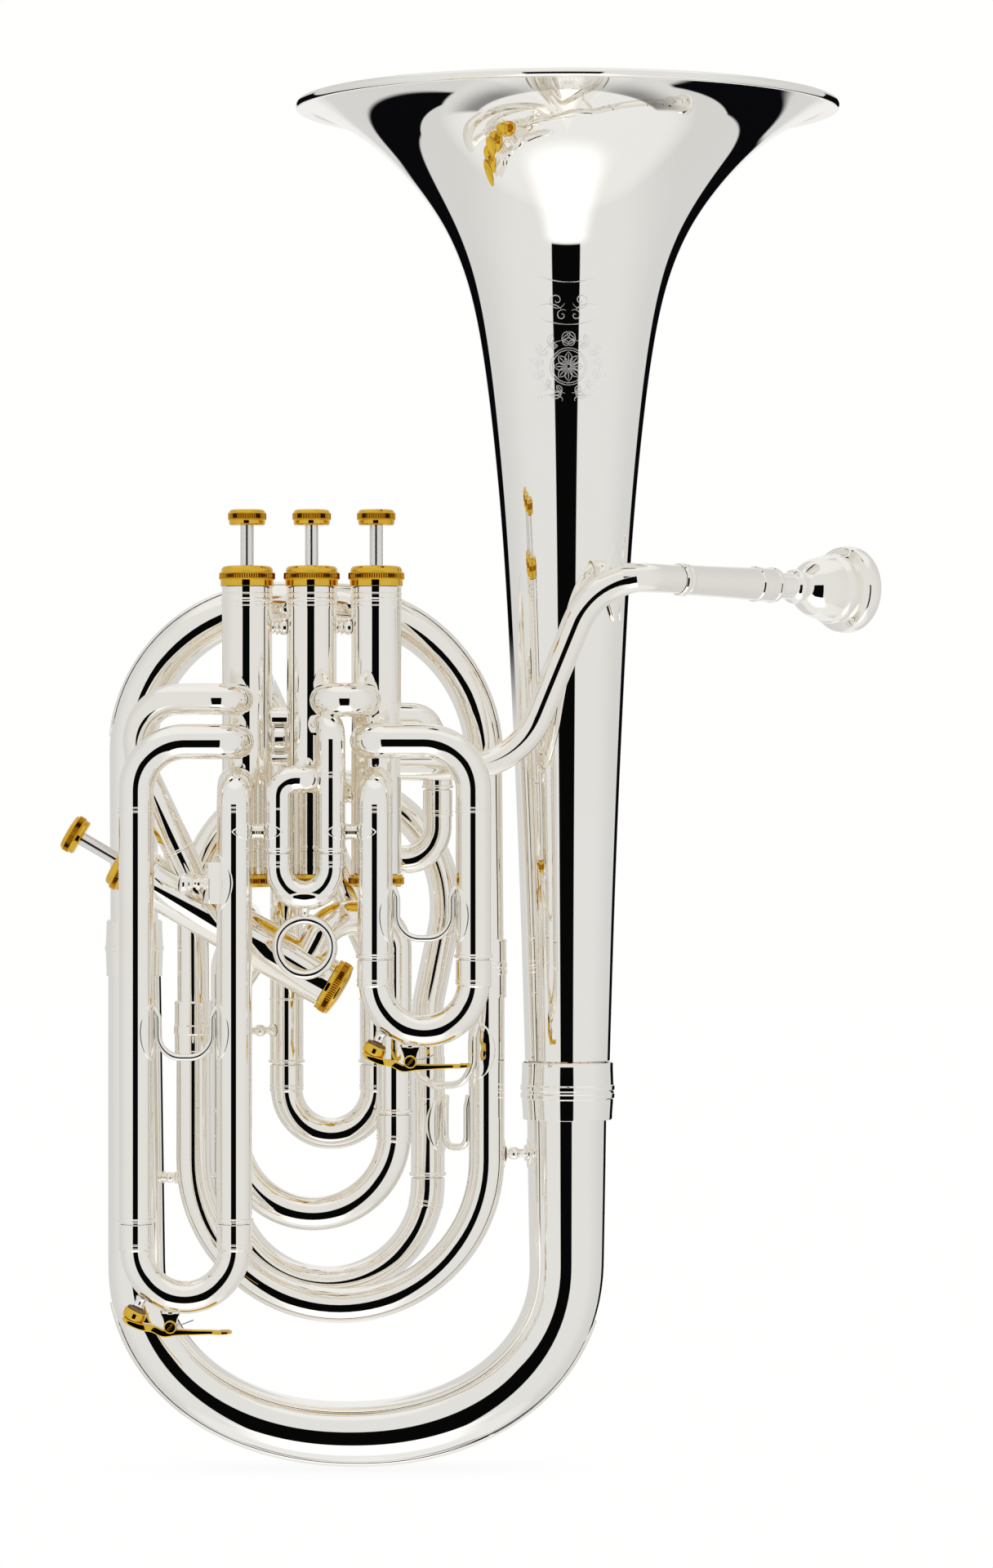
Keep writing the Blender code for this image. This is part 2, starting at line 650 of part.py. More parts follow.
slide_bow("slide_1_bow", SLIDE_1)
slide_bow("slide_2_bow", SLIDE_2)
slide_bow("slide_3_bow", SLIDE_3)
slide_bow("slide_4_bow", SLIDE_4)
slide_bow("tuning_slide_bow", TUNING)
slide_bow("comp_slide_3_bow", COMP_3)
slide_bow("comp_slide_1_bow", COMP_1)


def slide_2_ring():
    """Pull ring below the second slide's crook, facing the front."""
    centre = Vector(((SLIDE_2.left + SLIDE_2.right) / 2, SLIDE_2.y, RING_Z))
    bpy.ops.mesh.primitive_torus_add(
        major_radius=RING_R * MM, minor_radius=RING_WIRE_R * MM, major_segments=16,
        minor_segments=6, location=centre * MM, rotation=(math.radians(90), 0, 0))
    ring = bpy.context.active_object
    ring.name = "slide_2_ring"
    for collection in list(ring.users_collection):
        collection.objects.unlink(ring)
    place(ring)


slide_2_ring()


# ---------------------------------------------------------------- water keys
def water_key(name, pivot, cup_at, tip):
    """Lever on a hub across it, with a cup on the left arm and a thicker tip on the right."""
    pivot, cup_at, tip = Vector(pivot), Vector(cup_at), Vector(tip)
    line = path([cup_at + Vector((0, 0, -2.4)),
                 pivot + (cup_at - pivot) * 0.45 + Vector((0, 0, -1.6)),
                 pivot,
                 pivot + (tip - pivot) * 0.5 + Vector((0, 0, -1.0)),
                 tip], [6, 9, 12])
    lever = solid_bar(name, line, [(0, 1.5), (8, 1.4), (20, 2.0), (40, 1.5), (48, 2.2)], sides=8,
                      origin=pivot)
    hub = turned(name + "_hub", [(0, 4.5), (3.2, 4.5), (3.2, -4.5), (0, -4.5)], steps=12,
                 at=pivot, direction=(0, 1, 0))
    cup = turned(name + "_cup", [(0, 2.6), (4.6, 2.6), (5.2, -1.6), (3.6, -3.2), (0, -3.6)],
                 steps=14, at=cup_at, direction=(0.35, 0, 1))
    combine(lever, hub, 'UNION')
    combine(lever, cup, 'UNION')
    place(lever, "gold")


water_key("water_key_1", pivot=(-79.4, FRONT_Y, 213.4), cup_at=(-97.2, FRONT_Y, 219.4),
          tip=(-49.4, FRONT_Y, 211.6))
water_key("water_key_3", pivot=(-198.7, FRONT_Y, 81.6), cup_at=(-216.6, FRONT_Y, 87.6),
          tip=(-168.6, FRONT_Y, 79.0))


# ---------------------------------------------------------------- leadpipe, receiver, mouthpiece
def leadpipe():
    """From the receiver down and left to the first valve."""
    line = path([RECEIVER_AT, RECEIVER_AT - MOUTH_DIRECTION * 25.0, (13.0, -48.0, 455.0),
                 (-25.9, -47.0, 359.7), (-84.2, VALVE_Y, 359.7)], [24, 38, 42], step=24)
    open_tube("leadpipe", line, [(0, 7.3), (60, 7.6), (140, 6.9), (arc_lengths(line)[-1], 6.3)],
              wall=0.8)


# (radius, distance along the mouthpiece direction)
RECEIVER_PROFILE = [
    (8.2, 70.7), (9.2, 69.8), (9.2, 56.0), (8.3, 54.5), (7.7, 6.5), (8.2, 5.8), (8.2, 0.9),
    (7.6, 0.4), (6.6, 0.4), (6.6, 20), (7.15, 28), (7.15, 70.7),
]
MOUTHPIECE_PROFILE = [
    (6.3, 0), (6.75, 53.5), (9.1, 56), (9.1, 58), (7.9, 61), (15.6, 74), (18.2, 86), (18.3, 92),
    (22.6, 96), (22.8, 98), (21.4, 99), (16.6, 99), (14.0, 95), (12.6, 82), (3.6, 58), (4.8, 0),
]
leadpipe()
place(turned("receiver", RECEIVER_PROFILE, at=RECEIVER_AT, direction=MOUTH_DIRECTION))
place(turned("mouthpiece", MOUTHPIECE_PROFILE, steps=18, direction=MOUTH_DIRECTION,
             at=RECEIVER_AT + MOUTH_DIRECTION * MOUTHPIECE_OFFSET))


# ---------------------------------------------------------------- braces
def strut(name, start, end, rod, foot, ball):
    """A turned stay: a foot disc at each end, a rod, and a ball halfway if its radius is set."""
    start, end = Vector(start), Vector(end)
    span = (end - start).length
    profile = [(0, 0), (foot, 0), (foot, 0.9), (rod, 1.6)]
    if ball:
        for k in range(5):
            angle = math.pi * (k / 4 - 0.5)
            profile.append((max(rod, ball * math.cos(angle)), 0.5 * span + ball * math.sin(angle)))
    profile += [(rod, span - 1.6), (foot, span - 0.9), (foot, span), (0, span)]
    place(turned(name, profile, steps=10, at=start, direction=end - start))


BRACE_Z = 430.4
POST_Z = 328
BRACE_REACH = CASING_R + 0.35       # casing axis to the brace's foot, just clear of the wall
# name, start, end, rod radius, foot radius, ball radius
STRUTS = [
    ("casing_brace_12", (VALVE_X[1] + BRACE_REACH, VALVE_Y, BRACE_Z),
     (VALVE_X[0] - BRACE_REACH, VALVE_Y, BRACE_Z), 1.6, 3.4, 0),
    ("casing_brace_23", (VALVE_X[2] + BRACE_REACH, VALVE_Y, BRACE_Z),
     (VALVE_X[1] - BRACE_REACH, VALVE_Y, BRACE_Z), 1.6, 3.4, 0),
    ("slide_post_12", (-111.5, FRONT_Y, POST_Z), (-106.2, FRONT_Y, POST_Z), 2.0, 3.6, 0),
    ("slide_post_23", (-157.8, FRONT_Y, POST_Z), (-152.5, FRONT_Y, POST_Z), 2.0, 3.6, 0),
    ("bell_strut", (-31.6, -6.2, 162), (-22.0, -3.4, 162), 2.2, 4.6, 3.2),
    ("branch_strut", (-206.9, -2.2, 149.5), (-201.3, -4.8, 149.5), 1.8, 3.2, 2.4),
    ("valve_4_strut", (-184.7, -73.6, 303), (-176.6, -85.4, 303), 1.8, 3.4, 2.8),
    ("leadpipe_stay", (30.8, -38.2, 455.5), (24.4, -27.0, 455.5), 2.2, 4.2, 0),
]
for row in STRUTS:
    strut(*row)
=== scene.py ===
import bpy
import bmesh
import math
import numpy as np
from mathutils import Matrix, Vector


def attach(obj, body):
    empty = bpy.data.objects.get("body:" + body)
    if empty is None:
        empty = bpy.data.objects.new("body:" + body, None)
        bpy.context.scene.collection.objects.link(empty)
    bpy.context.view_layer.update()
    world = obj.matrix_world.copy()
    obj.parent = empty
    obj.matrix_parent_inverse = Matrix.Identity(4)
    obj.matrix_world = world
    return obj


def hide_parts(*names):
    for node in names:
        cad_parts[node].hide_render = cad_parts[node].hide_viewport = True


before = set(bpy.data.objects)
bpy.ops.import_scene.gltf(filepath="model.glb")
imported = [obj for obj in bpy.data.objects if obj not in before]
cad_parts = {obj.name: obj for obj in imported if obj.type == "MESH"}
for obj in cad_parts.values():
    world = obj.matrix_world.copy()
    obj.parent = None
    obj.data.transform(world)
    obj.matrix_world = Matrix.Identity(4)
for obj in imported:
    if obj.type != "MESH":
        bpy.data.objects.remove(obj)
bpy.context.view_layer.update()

MM = 0.001
HOME = Vector((46.11, 0.0, 0.256))     # the horn's own frame to the row frame, mm
FINE = 1.0

BELL_WALL = 1.1
BELL_STATIONS = [(209.5, 21.9), (300, 24.7), (400, 29.0), (486, 34.2), (536, 39.0), (575, 44.2), (612, 52.6),
                 (637, 63.4), (654, 74.8), (671, 89.9), (683, 104.0), (693, 120.5), (700, 135.5)]
VALVE_X = (-97.0, -129.5, -162.0)
VALVE_Y = -60.0
CASING_R, BORE_R, PISTON_R, STEM_R = 12.6, 10.9, 10.6, 3.4
CASING_TOP, CASING_LEN = 450.6, 144.3
V4_FOOT = (-121.9, -60.0, 251.4)
V4_TILT, V4_LEN = 30.5, 112.0
CAP_R, CAP_BAND_R, BUTTON_R = 13.2, 14.1, 9.65
SLIDE_Y = -90.0
LEG_R, LEG_WALL, INNER_R = 8.8, 0.6, 7.4
S1_X, S2_X, S3_X = (-97.0, -48.0), (-145.0, -118.8), (-215.8, -167.0)
S4_X, S4_Y = (-170.0, -88.2), -45.0
TUNE_X, TUNE_Y = (-175.3, -72.0), 12.0
C3_X, C3_Y = (-143.4, -97.7), -25.0
C1_X, C1_Y = (-100.4, -66.4), -38.0
MP_YAW, MP_DIP = 43.0, 1.0
RECEIVER_AT = (55.3, -31.0, 455.6)
UP = Vector((0, 0, 1))


# ---------------------------------------------------------------- node materials
class Nodes:
    """Small wrapper for building shader trees."""

    def __init__(self, tree):
        self.t = tree
        for n in list(tree.nodes):
            tree.nodes.remove(n)

    def add(self, kind, **values):
        n = self.t.nodes.new(kind)
        for k, v in values.items():
            setattr(n, k, v)
        return n

    def wire(self, a, b):
        self.t.links.new(a, b)

    def put(self, socket, value):
        if isinstance(value, bpy.types.NodeSocket):
            self.t.links.new(value, socket)
        else:
            socket.default_value = value

    def math(self, op, a, b=0.0, c=None, clamp=False):
        n = self.add('ShaderNodeMath', operation=op, use_clamp=clamp)
        self.put(n.inputs[0], a)
        self.put(n.inputs[1], b)
        if c is not None:
            self.put(n.inputs[2], c)
        return n.outputs[0]

    def step(self, x, lo, hi, a=0.0, b=1.0, kind='SMOOTHSTEP'):
        n = self.add('ShaderNodeMapRange', interpolation_type=kind, clamp=True)
        self.put(n.inputs['Value'], x)
        self.put(n.inputs['From Min'], lo)
        self.put(n.inputs['From Max'], hi)
        self.put(n.inputs['To Min'], a)
        self.put(n.inputs['To Max'], b)
        return n.outputs['Result']

    def noise(self, vec, scale, detail=2.0, rough=0.5):
        n = self.add('ShaderNodeTexNoise')
        self.wire(vec, n.inputs['Vector'])
        n.inputs['Scale'].default_value = scale
        n.inputs['Detail'].default_value = detail
        n.inputs['Roughness'].default_value = rough
        return n.outputs['Fac']

    def mix(self, fac, a, b):
        n = self.add('ShaderNodeMix', data_type='RGBA')
        self.put(n.inputs[0], fac)
        self.put(n.inputs[6], a)
        self.put(n.inputs[7], b)
        return n.outputs[2]


def colour(r, g, b):
    return (r, g, b, 1.0)


def painted_flag_reflection(n, pos):
    """Painted reflection: how much black is painted at a point of the bell's flare, shaped like two black flag sheets
    and a grey fold behind the horn as the flare would mirror them.
    """
    mirror = n.add('ShaderNodeSeparateXYZ')
    n.wire(n.add('ShaderNodeTexCoord').outputs['Reflection'], mirror.inputs[0])
    x, y, z = mirror.outputs
    az = n.math('MULTIPLY', n.math('ARCTAN2', x, n.math('MULTIPLY', y, -1.0)), 180 / math.pi)
    el = n.math('MULTIPLY', n.math('ARCSINE', z), 180 / math.pi)
    turn = n.math('ABSOLUTE', az)
    right = n.step(az, -1.0, 1.0)
    place = n.add('ShaderNodeSeparateXYZ')
    n.wire(pos, place.inputs[0])
    beside = n.math('MAXIMUM', right, n.step(place.outputs[2], 0.375, 0.43))
    close = n.math('ADD', n.math('ADD', 139.0, n.math('MULTIPLY', right, 9.5)),
                   n.math('MULTIPLY', n.step(el, -24.0, -7.0, 0.0, -4.5), n.math('ADD', 1.0, n.math('MULTIPLY', right, 1.3))))
    close = n.math('ADD', close, n.step(el, -40.0, -50.5, 0.0, 12.0, kind='LINEAR'))
    far = n.math('ADD', 159.6, n.math('MULTIPLY', right, 2.6))
    far = n.math('ADD', far, n.step(el, -14.0, -4.0, 0.0, 5.0))
    flag = n.math('MULTIPLY', n.step(n.math('SUBTRACT', turn, close), -0.7, 0.7),
                  n.step(n.math('SUBTRACT', turn, far), -0.8, 0.8, 1.0, 0.0))
    flag = n.math('MULTIPLY', flag, n.step(el, -51.2, -50.2))
    flag = n.math('MULTIPLY', flag, n.step(el, 9.0, 14.0, 1.0, 0.0))
    flag = n.math('MULTIPLY', flag, beside)
    fold = n.math('MULTIPLY', n.step(turn, 141.0, 146.0), n.step(el, -51.0, -60.0, 0.0, 0.7))
    fold = n.math('MULTIPLY', fold, n.step(el, -61.6, -60.6))
    fold = n.math('MULTIPLY', fold, n.step(turn, 176.0, 160.0, 0.35, 1.0))
    return n.math('MAXIMUM', flag, fold)


def metal(name, bright, warm, rough, spread, grain=0.0, grain_scale=900.0, crevice_shade=None, painted_flags=False):
    """Plated metal: faint colour drift, uneven polish, fine buffing grain, and optionally a painted shade in the
    crevices.
    """
    mat = bpy.data.materials.new(name)
    mat.use_nodes = True
    n = Nodes(mat.node_tree)
    out = n.add('ShaderNodeOutputMaterial')
    bsdf = n.add('ShaderNodeBsdfPrincipled')
    pos = n.add('ShaderNodeTexCoord').outputs['Object']
    cloud = n.noise(pos, 14.0, 3.0)
    fine = n.noise(pos, 160.0, 4.0, 0.6)
    tone = n.math('ADD', n.math('MULTIPLY', cloud, 0.75), n.math('MULTIPLY', fine, 0.25))
    base = n.mix(n.step(tone, 0.32, 0.68), bright, warm)
    # optional painted shade: concave spots (low pointiness) are darkened toward the given shade colour
    if crevice_shade is not None:
        geo = n.add('ShaderNodeNewGeometry')
        crevice_mask = n.step(geo.outputs['Pointiness'], 0.40, 0.50, 1.0, 0.0)
        base = n.mix(crevice_mask, base, crevice_shade)
    n.put(bsdf.inputs['Base Color'], base)
    bsdf.inputs['Metallic'].default_value = 1.0
    n.put(bsdf.inputs['Roughness'], n.step(n.math('ADD', n.math('MULTIPLY', cloud, 0.5), n.math('MULTIPLY', fine, 0.5)),
                                           0.3, 0.7, rough, rough + spread))
    if grain > 0:
        stretch = n.add('ShaderNodeMapping')
        stretch.inputs['Scale'].default_value = (1.0, 1.0, 14.0)
        n.wire(pos, stretch.inputs['Vector'])
        bump = n.add('ShaderNodeBump')
        bump.inputs['Strength'].default_value = grain
        bump.inputs['Distance'].default_value = 0.00004
        n.wire(n.noise(stretch.outputs['Vector'], grain_scale, 3.0), bump.inputs['Height'])
        n.wire(bump.outputs['Normal'], bsdf.inputs['Normal'])
    # painted reflection: black diffuse mixed in where the painted flag shapes would be mirrored
    if painted_flags:
        black = n.add('ShaderNodeBsdfDiffuse')
        black.inputs['Color'].default_value = colour(0.003, 0.003, 0.004)
        mix = n.add('ShaderNodeMixShader')
        n.put(mix.inputs[0], painted_flag_reflection(n, pos))
        n.wire(bsdf.outputs[0], mix.inputs[1])
        n.wire(black.outputs[0], mix.inputs[2])
        n.wire(mix.outputs[0], out.inputs['Surface'])
    else:
        n.wire(bsdf.outputs[0], out.inputs['Surface'])
    return mat


SILVER = metal("silver_plate", colour(0.962, 0.942, 0.898), colour(0.950, 0.922, 0.862), 0.010, 0.018)
# silver with a painted reflection of black flag shapes, for the bell, its sleeve and the bottom bow
SILVER_PAINTED_FLAGS = metal("silver_plate_painted_flags", colour(0.962, 0.946, 0.912), colour(0.952, 0.930, 0.885), 0.008, 0.014,
                    painted_flags=True)
SATIN = metal("satin_stem", colour(0.86, 0.845, 0.82), colour(0.81, 0.79, 0.76), 0.10, 0.06, 0.04)
GOLD = metal("gold_plate", colour(0.82, 0.54, 0.068), colour(0.76, 0.47, 0.045), 0.03, 0.05, 0.02, 700.0)
GOLD_CREST = metal("gold_knurl_crest", colour(0.74, 0.38, 0.025), colour(0.66, 0.31, 0.016), 0.06, 0.07, 0.03, 900.0)
GOLD_VALLEY_SHADE = metal("gold_knurl_valley_painted_shade", colour(0.20, 0.068, 0.003), colour(0.15, 0.046, 0.002), 0.12, 0.10, 0.03, 900.0)
STEEL = metal("spring_steel", colour(0.62, 0.62, 0.64), colour(0.52, 0.52, 0.54), 0.16, 0.12, 0.2)
ENGRAVED = metal("engraved_silver", colour(0.98, 0.97, 0.945), colour(0.93, 0.92, 0.895), 0.34, 0.14, 0.3, 1500.0)


def cork_material():
    mat = bpy.data.materials.new("cork")
    mat.use_nodes = True
    n = Nodes(mat.node_tree)
    out = n.add('ShaderNodeOutputMaterial')
    bsdf = n.add('ShaderNodeBsdfPrincipled')
    pos = n.add('ShaderNodeTexCoord').outputs['Object']
    cells = n.add('ShaderNodeTexVoronoi')
    cells.inputs['Scale'].default_value = 1100.0
    n.wire(pos, cells.inputs['Vector'])
    speck = n.noise(pos, 700.0, 4.0, 0.7)
    base = n.mix(n.step(speck, 0.35, 0.65), colour(0.15, 0.085, 0.04), colour(0.27, 0.165, 0.085))
    base = n.mix(n.step(cells.outputs['Distance'], 0.0, 0.4, 0.55, 0.0), base, colour(0.20, 0.10, 0.05))
    n.put(bsdf.inputs['Base Color'], base)
    bsdf.inputs['Roughness'].default_value = 0.85
    bump = n.add('ShaderNodeBump')
    bump.inputs['Strength'].default_value = 0.5
    bump.inputs['Distance'].default_value = 0.0002
    n.wire(speck, bump.inputs['Height'])
    n.wire(bump.outputs['Normal'], bsdf.inputs['Normal'])
    n.wire(bsdf.outputs[0], out.inputs['Surface'])
    return mat


CORK = cork_material()


# ---------------------------------------------------------------- mesh helpers
def finish_mesh(name, verts, faces, body, mat, nodes=(), sharp=40.0, fix=True):
    """Closed shell in horn millimetres to a piece that rides on a body."""
    mesh = bpy.data.meshes.new(name)
    mesh.from_pydata([tuple((Vector(v) + HOME) * MM) for v in verts], [], faces)
    if fix:
        bm = bmesh.new()
        bm.from_mesh(mesh)
        bmesh.ops.recalc_face_normals(bm, faces=bm.faces)
        bm.to_mesh(mesh)
        bm.free()
    mesh.polygons.foreach_set("use_smooth", [True] * len(mesh.polygons))
    mesh.set_sharp_from_angle(angle=math.radians(sharp))
    mesh.materials.append(mat)
    obj = bpy.data.objects.new(name, mesh)
    bpy.context.scene.collection.objects.link(obj)
    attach(obj, body)
    if nodes:
        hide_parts(*nodes)
    return obj


def cubic(table):
    """Natural cubic through (t, value) points, as a function of t."""
    t = np.array([p[0] for p in table], float)
    y = np.array([p[1] for p in table], float)
    n = len(t)
    h = np.diff(t)
    a = np.eye(n)
    b = np.zeros(n)
    for i in range(1, n - 1):
        a[i, i - 1:i + 2] = (h[i - 1], 2 * (h[i - 1] + h[i]), h[i])
        b[i] = 6 * ((y[i + 1] - y[i]) / h[i] - (y[i] - y[i - 1]) / h[i - 1])
    m = np.linalg.solve(a, b)

    def f(x):
        i = int(min(max(np.searchsorted(t, x) - 1, 0), n - 2))
        u, v = t[i + 1] - x, x - t[i]
        return float((m[i] * u**3 + m[i + 1] * v**3) / (6 * h[i]) + (y[i] / h[i] - m[i] * h[i] / 6) * u
                     + (y[i + 1] / h[i] - m[i + 1] * h[i] / 6) * v)
    return f


def gentle(table, x):
    """Smooth reading of a short (position, value) table."""
    if isinstance(table, (int, float)):
        return table
    if x <= table[0][0]:
        return table[0][1]
    if x >= table[-1][0]:
        return table[-1][1]
    for i in range(len(table) - 1):
        (x0, y0), (x1, y1) = table[i], table[i + 1]
        if x <= x1:
            (xa, ya), (xb, yb) = table[max(i - 1, 0)], table[min(i + 2, len(table) - 1)]
            h = x1 - x0
            m0 = (y1 - ya) / (x1 - xa) * h
            m1 = (yb - y0) / (xb - x0) * h
            u = (x - x0) / h
            return ((2 * u**3 - 3 * u**2 + 1) * y0 + (u**3 - 2 * u**2 + u) * m0
                    + (-2 * u**3 + 3 * u**2) * y1 + (u**3 - u**2) * m1)
    return table[-1][1]


class Path:
    """Straight stretches joined by arcs of the given radii, read by arc length."""

    def __init__(self, points, radii=()):
        pts = [Vector(p) for p in points]
        self.segs = []
        cur = pts[0]
        for i in range(1, len(pts) - 1):
            d1 = (pts[i] - pts[i - 1]).normalized()
            d2 = (pts[i + 1] - pts[i]).normalized()
            turn = d1.angle(d2)
            r = radii[i - 1] if radii else 0.0
            if turn < 1e-4 or r <= 0:
                self._line(cur, pts[i])
                cur = pts[i]
                continue
            back = r * math.tan(turn / 2)
            a = pts[i] - d1 * back
            if (a - cur).dot(d1) > 1e-3:
                self._line(cur, a)
            side = (d2 - d1 * d1.dot(d2)).normalized()
            self.segs.append(("arc", r * turn, a + side * r, d1, side, r))
            cur = pts[i] + d2 * back
        if (pts[-1] - cur).length > 1e-3:
            self._line(cur, pts[-1])
        self.length = sum(s[1] for s in self.segs)

    def _line(self, a, b):
        if (b - a).length > 1e-4:
            self.segs.append(("line", (b - a).length, a, (b - a).normalized()))

    def at(self, s):
        s = min(max(s, 0.0), self.length)
        for k, g in enumerate(self.segs):
            if s <= g[1] or k == len(self.segs) - 1:
                if g[0] == "line":
                    return g[2] + g[3] * s, g[3].copy()
                a = s / g[5]
                c, d1, side, r = g[2], g[3], g[4], g[5]
                return (c - side * r * math.cos(a) + d1 * r * math.sin(a),
                        (side * math.sin(a) + d1 * math.cos(a)).normalized())
            s -= g[1]

    def stations(self, degrees=5.0, reach=35.0):
        out, total = [0.0], 0.0
        for g in self.segs:
            n = (max(1, math.ceil(g[1] / reach)) if g[0] == "line"
                 else max(2, math.ceil(math.degrees(g[1] / g[5]) / degrees)))
            out += [total + g[1] * k / n for k in range(1, n + 1)]
            total += g[1]
        return out


def bead(s, w, h):
    """Half-round ring on a tube, as (arc length, rise) pairs."""
    out = [(s - w - 0.5, 0.0), (s - w - 0.05, 0.0)]
    for k in range(9):
        t = math.pi * (k / 8 - 0.5)
        out.append((s + w * math.sin(t), h * math.cos(t) ** 0.8 if abs(k - 4) < 4 else 0.0))
    return out + [(s + w + 0.05, 0.0), (s + w + 0.5, 0.0)]


def collar(s0, s1, h, soft=0.35):
    """Raised band with rounded shoulders."""
    soft = min(soft, abs(h), (s1 - s0) / 3)
    out = [(s0 - 0.4, 0.0), (s0 - 0.03, 0.0), (s0, h * 0.15)]
    for k in range(4):
        t = math.pi / 2 * k / 3
        out.append((s0 + soft * (1 - math.cos(t)), h - soft * (1 - math.sin(t))))
    out.append((s0 + soft + 0.25, h))
    out.append((s1 - soft - 0.25, h))
    for k in range(4):
        t = math.pi / 2 * (1 - k / 3)
        out.append((s1 - soft * (1 - math.cos(t)), h - soft * (1 - math.sin(t))))
    return out + [(s1, h * 0.15), (s1 + 0.03, 0.0), (s1 + 0.4, 0.0)]


def groove(s, w, h):
    return [(s - w - 0.4, 0.0), (s - w, 0.0), (s - w * 0.6, -h * 0.7), (s, -h), (s + w * 0.6, -h * 0.7), (s + w, 0.0),
            (s + w + 0.4, 0.0)]


def lines(s, gap=2.6, w=0.55, h=0.4):
    """Two fine turned rings close together."""
    return bead(s - gap / 2, w, h), bead(s + gap / 2, w, h)


def on_cylinder(p, d, centre, axis, radius):
    w = p - centre
    w = w - axis * w.dot(axis)
    e = d - axis * d.dot(axis)
    a, b, c = e.dot(e), 2 * w.dot(e), w.dot(w) - radius * radius
    return p + d * ((-b + math.sqrt(max(b * b - 4 * a * c, 0.0))) / (2 * a))


def sweep(name, path, radius, body, mat=None, wall=LEG_WALL, sides=40, feats=(), degrees=5.0, nodes=(),
          trim0=None, trim1=None, lead0=13.4, lead1=13.4, flat=1.0, ref=(0, 1, 0), dome=False):
    """Round tube (wall) or bar (wall=None) along a path. radius is a number, a table or a function of arc length."""
    mat = mat or SILVER
    read = radius if callable(radius) else (lambda s: gentle(radius, s))
    total = path.length
    plan = [(s, None) for s in path.stations(degrees / FINE, 35.0)]
    if not isinstance(radius, (int, float)) and not callable(radius):
        plan += [(s, None) for s, _ in radius if 0 < s < total]
    rises = []
    for f in feats:
        lo, hi = f[0][0], f[-1][0]
        plan = [(s, r) for s, r in plan if r is not None or not (lo - 0.2 < s < hi + 0.2)]
        rises += [(min(max(s, 0.0), total), h) for s, h in f]
    plan += rises
    if trim0:
        plan = [(0.0, None)] + [(s, h) for s, h in plan if s >= lead0]
    if trim1:
        plan = [(s, h) for s, h in plan if s <= total - lead1] + [(total, None)]
    if dome:
        r_end = read(0.0)
        cap = [(r_end * (1 - math.cos(math.pi / 2 * k / 5)), -r_end * (1 - math.sin(math.pi / 2 * k / 5)))
               for k in range(1, 6)]
        plan = ([(s, h) for s, h in plan if r_end < s < total - r_end] + [(s, h) for s, h in cap]
                + [(total - s, h) for s, h in cap] + [(0.0, -r_end * 0.85), (total, -r_end * 0.85)])
    order = sorted(range(len(plan)), key=lambda i: (round(plan[i][0], 6), i))
    plan = [plan[i] for i in order]
    tidy = []
    for s, h in plan:
        h = 0.0 if h is None else h
        if tidy and abs(s - tidy[-1][0]) < 1e-4 and abs(h - tidy[-1][1]) < 1e-3:
            continue
        tidy.append((s, h))
    sides = max(12, int(sides * (FINE if sides > 24 else 1)))
    normal = Vector(ref)
    frames = []
    for s, h in tidy:
        p, t = path.at(s)
        normal = normal - t * normal.dot(t)
        if normal.length < 1e-4:
            normal = t.orthogonal()
        normal.normalize()
        frames.append((s, p, t, normal.copy(), t.cross(normal).normalized()))
    cos = [(math.cos(2 * math.pi * j / sides), math.sin(2 * math.pi * j / sides)) for j in range(sides)]

    def ring(k, r):
        s, p, t, a, b = frames[k]
        row = [p + a * (r * c) + b * (r * w * flat) for c, w in cos]
        if trim0 and k == 0:
            row = [on_cylinder(v, t, *trim0) for v in row]
        if trim1 and k == len(frames) - 1:
            row = [on_cylinder(v, -t, *trim1) for v in row]
        return row

    verts, faces, outer, inner = [], [], [], []
    for k, (s, h) in enumerate(tidy):
        outer.append(len(verts))
        verts += ring(k, read(s) + h)
    for a, b in zip(outer, outer[1:]):
        faces += [(a + j, a + (j + 1) % sides, b + (j + 1) % sides, b + j) for j in range(sides)]
    if wall is None:
        faces.append(tuple(outer[0] + j for j in reversed(range(sides))))
        faces.append(tuple(outer[-1] + j for j in range(sides)))
    else:
        keep = []
        for k, (s, h) in enumerate(tidy):
            if k in (0, len(tidy) - 1) or h == 0.0 and s - tidy[keep[-1]][0] > 0.9:
                keep.append(k)
        if len(keep) > 2 and tidy[keep[-1]][0] - tidy[keep[-2]][0] < 0.2:
            keep.pop(-2)
        for k in keep:
            inner.append(len(verts))
            verts += ring(k, read(tidy[k][0]) - wall)
        for a, b in zip(inner, inner[1:]):
            faces += [(a + j, b + j, b + (j + 1) % sides, a + (j + 1) % sides) for j in range(sides)]
        for a, b, flip in ((outer[0], inner[0], False), (outer[-1], inner[-1], True)):
            for j in range(sides):
                q = (a + j, b + j, b + (j + 1) % sides, a + (j + 1) % sides)
                faces.append(q[::-1] if flip else q)
    return finish_mesh(name, verts, faces, body, mat, nodes)


def rounded(prof, r, closed=True, n=4):
    """Breaks the corners of a lathe profile with small arcs and holding points."""
    out, m = [], len(prof)
    for i, p in enumerate(prof):
        p = Vector(p)
        if not closed and i in (0, m - 1):
            out.append(tuple(p))
            continue
        a, b = Vector(prof[i - 1]), Vector(prof[(i + 1) % m])
        d1, d2 = p - a, b - p
        l1, l2 = d1.length, d2.length
        d1.normalize()
        d2.normalize()
        turn = d1.angle(d2)
        if turn < math.radians(12):
            out.append(tuple(p))
            continue
        back = min(r * math.tan(turn / 2), 0.4 * l1, 0.4 * l2)
        rr = back / math.tan(turn / 2)
        start = p - d1 * back
        side = (d2 - d1 * d1.dot(d2)).normalized()
        if l1 - back > 0.6:
            out.append(tuple(start - d1 * min(0.15, (l1 - back) * 0.2)))
        for k in range(n + 1):
            t = turn * k / n
            q = start + side * (rr * (1 - math.cos(t))) + d1 * (rr * math.sin(t))
            out.append(tuple(q))
        if l2 - back > 0.6:
            out.append(tuple(p + d2 * (back + min(0.15, (l2 - back) * 0.2))))
    return out


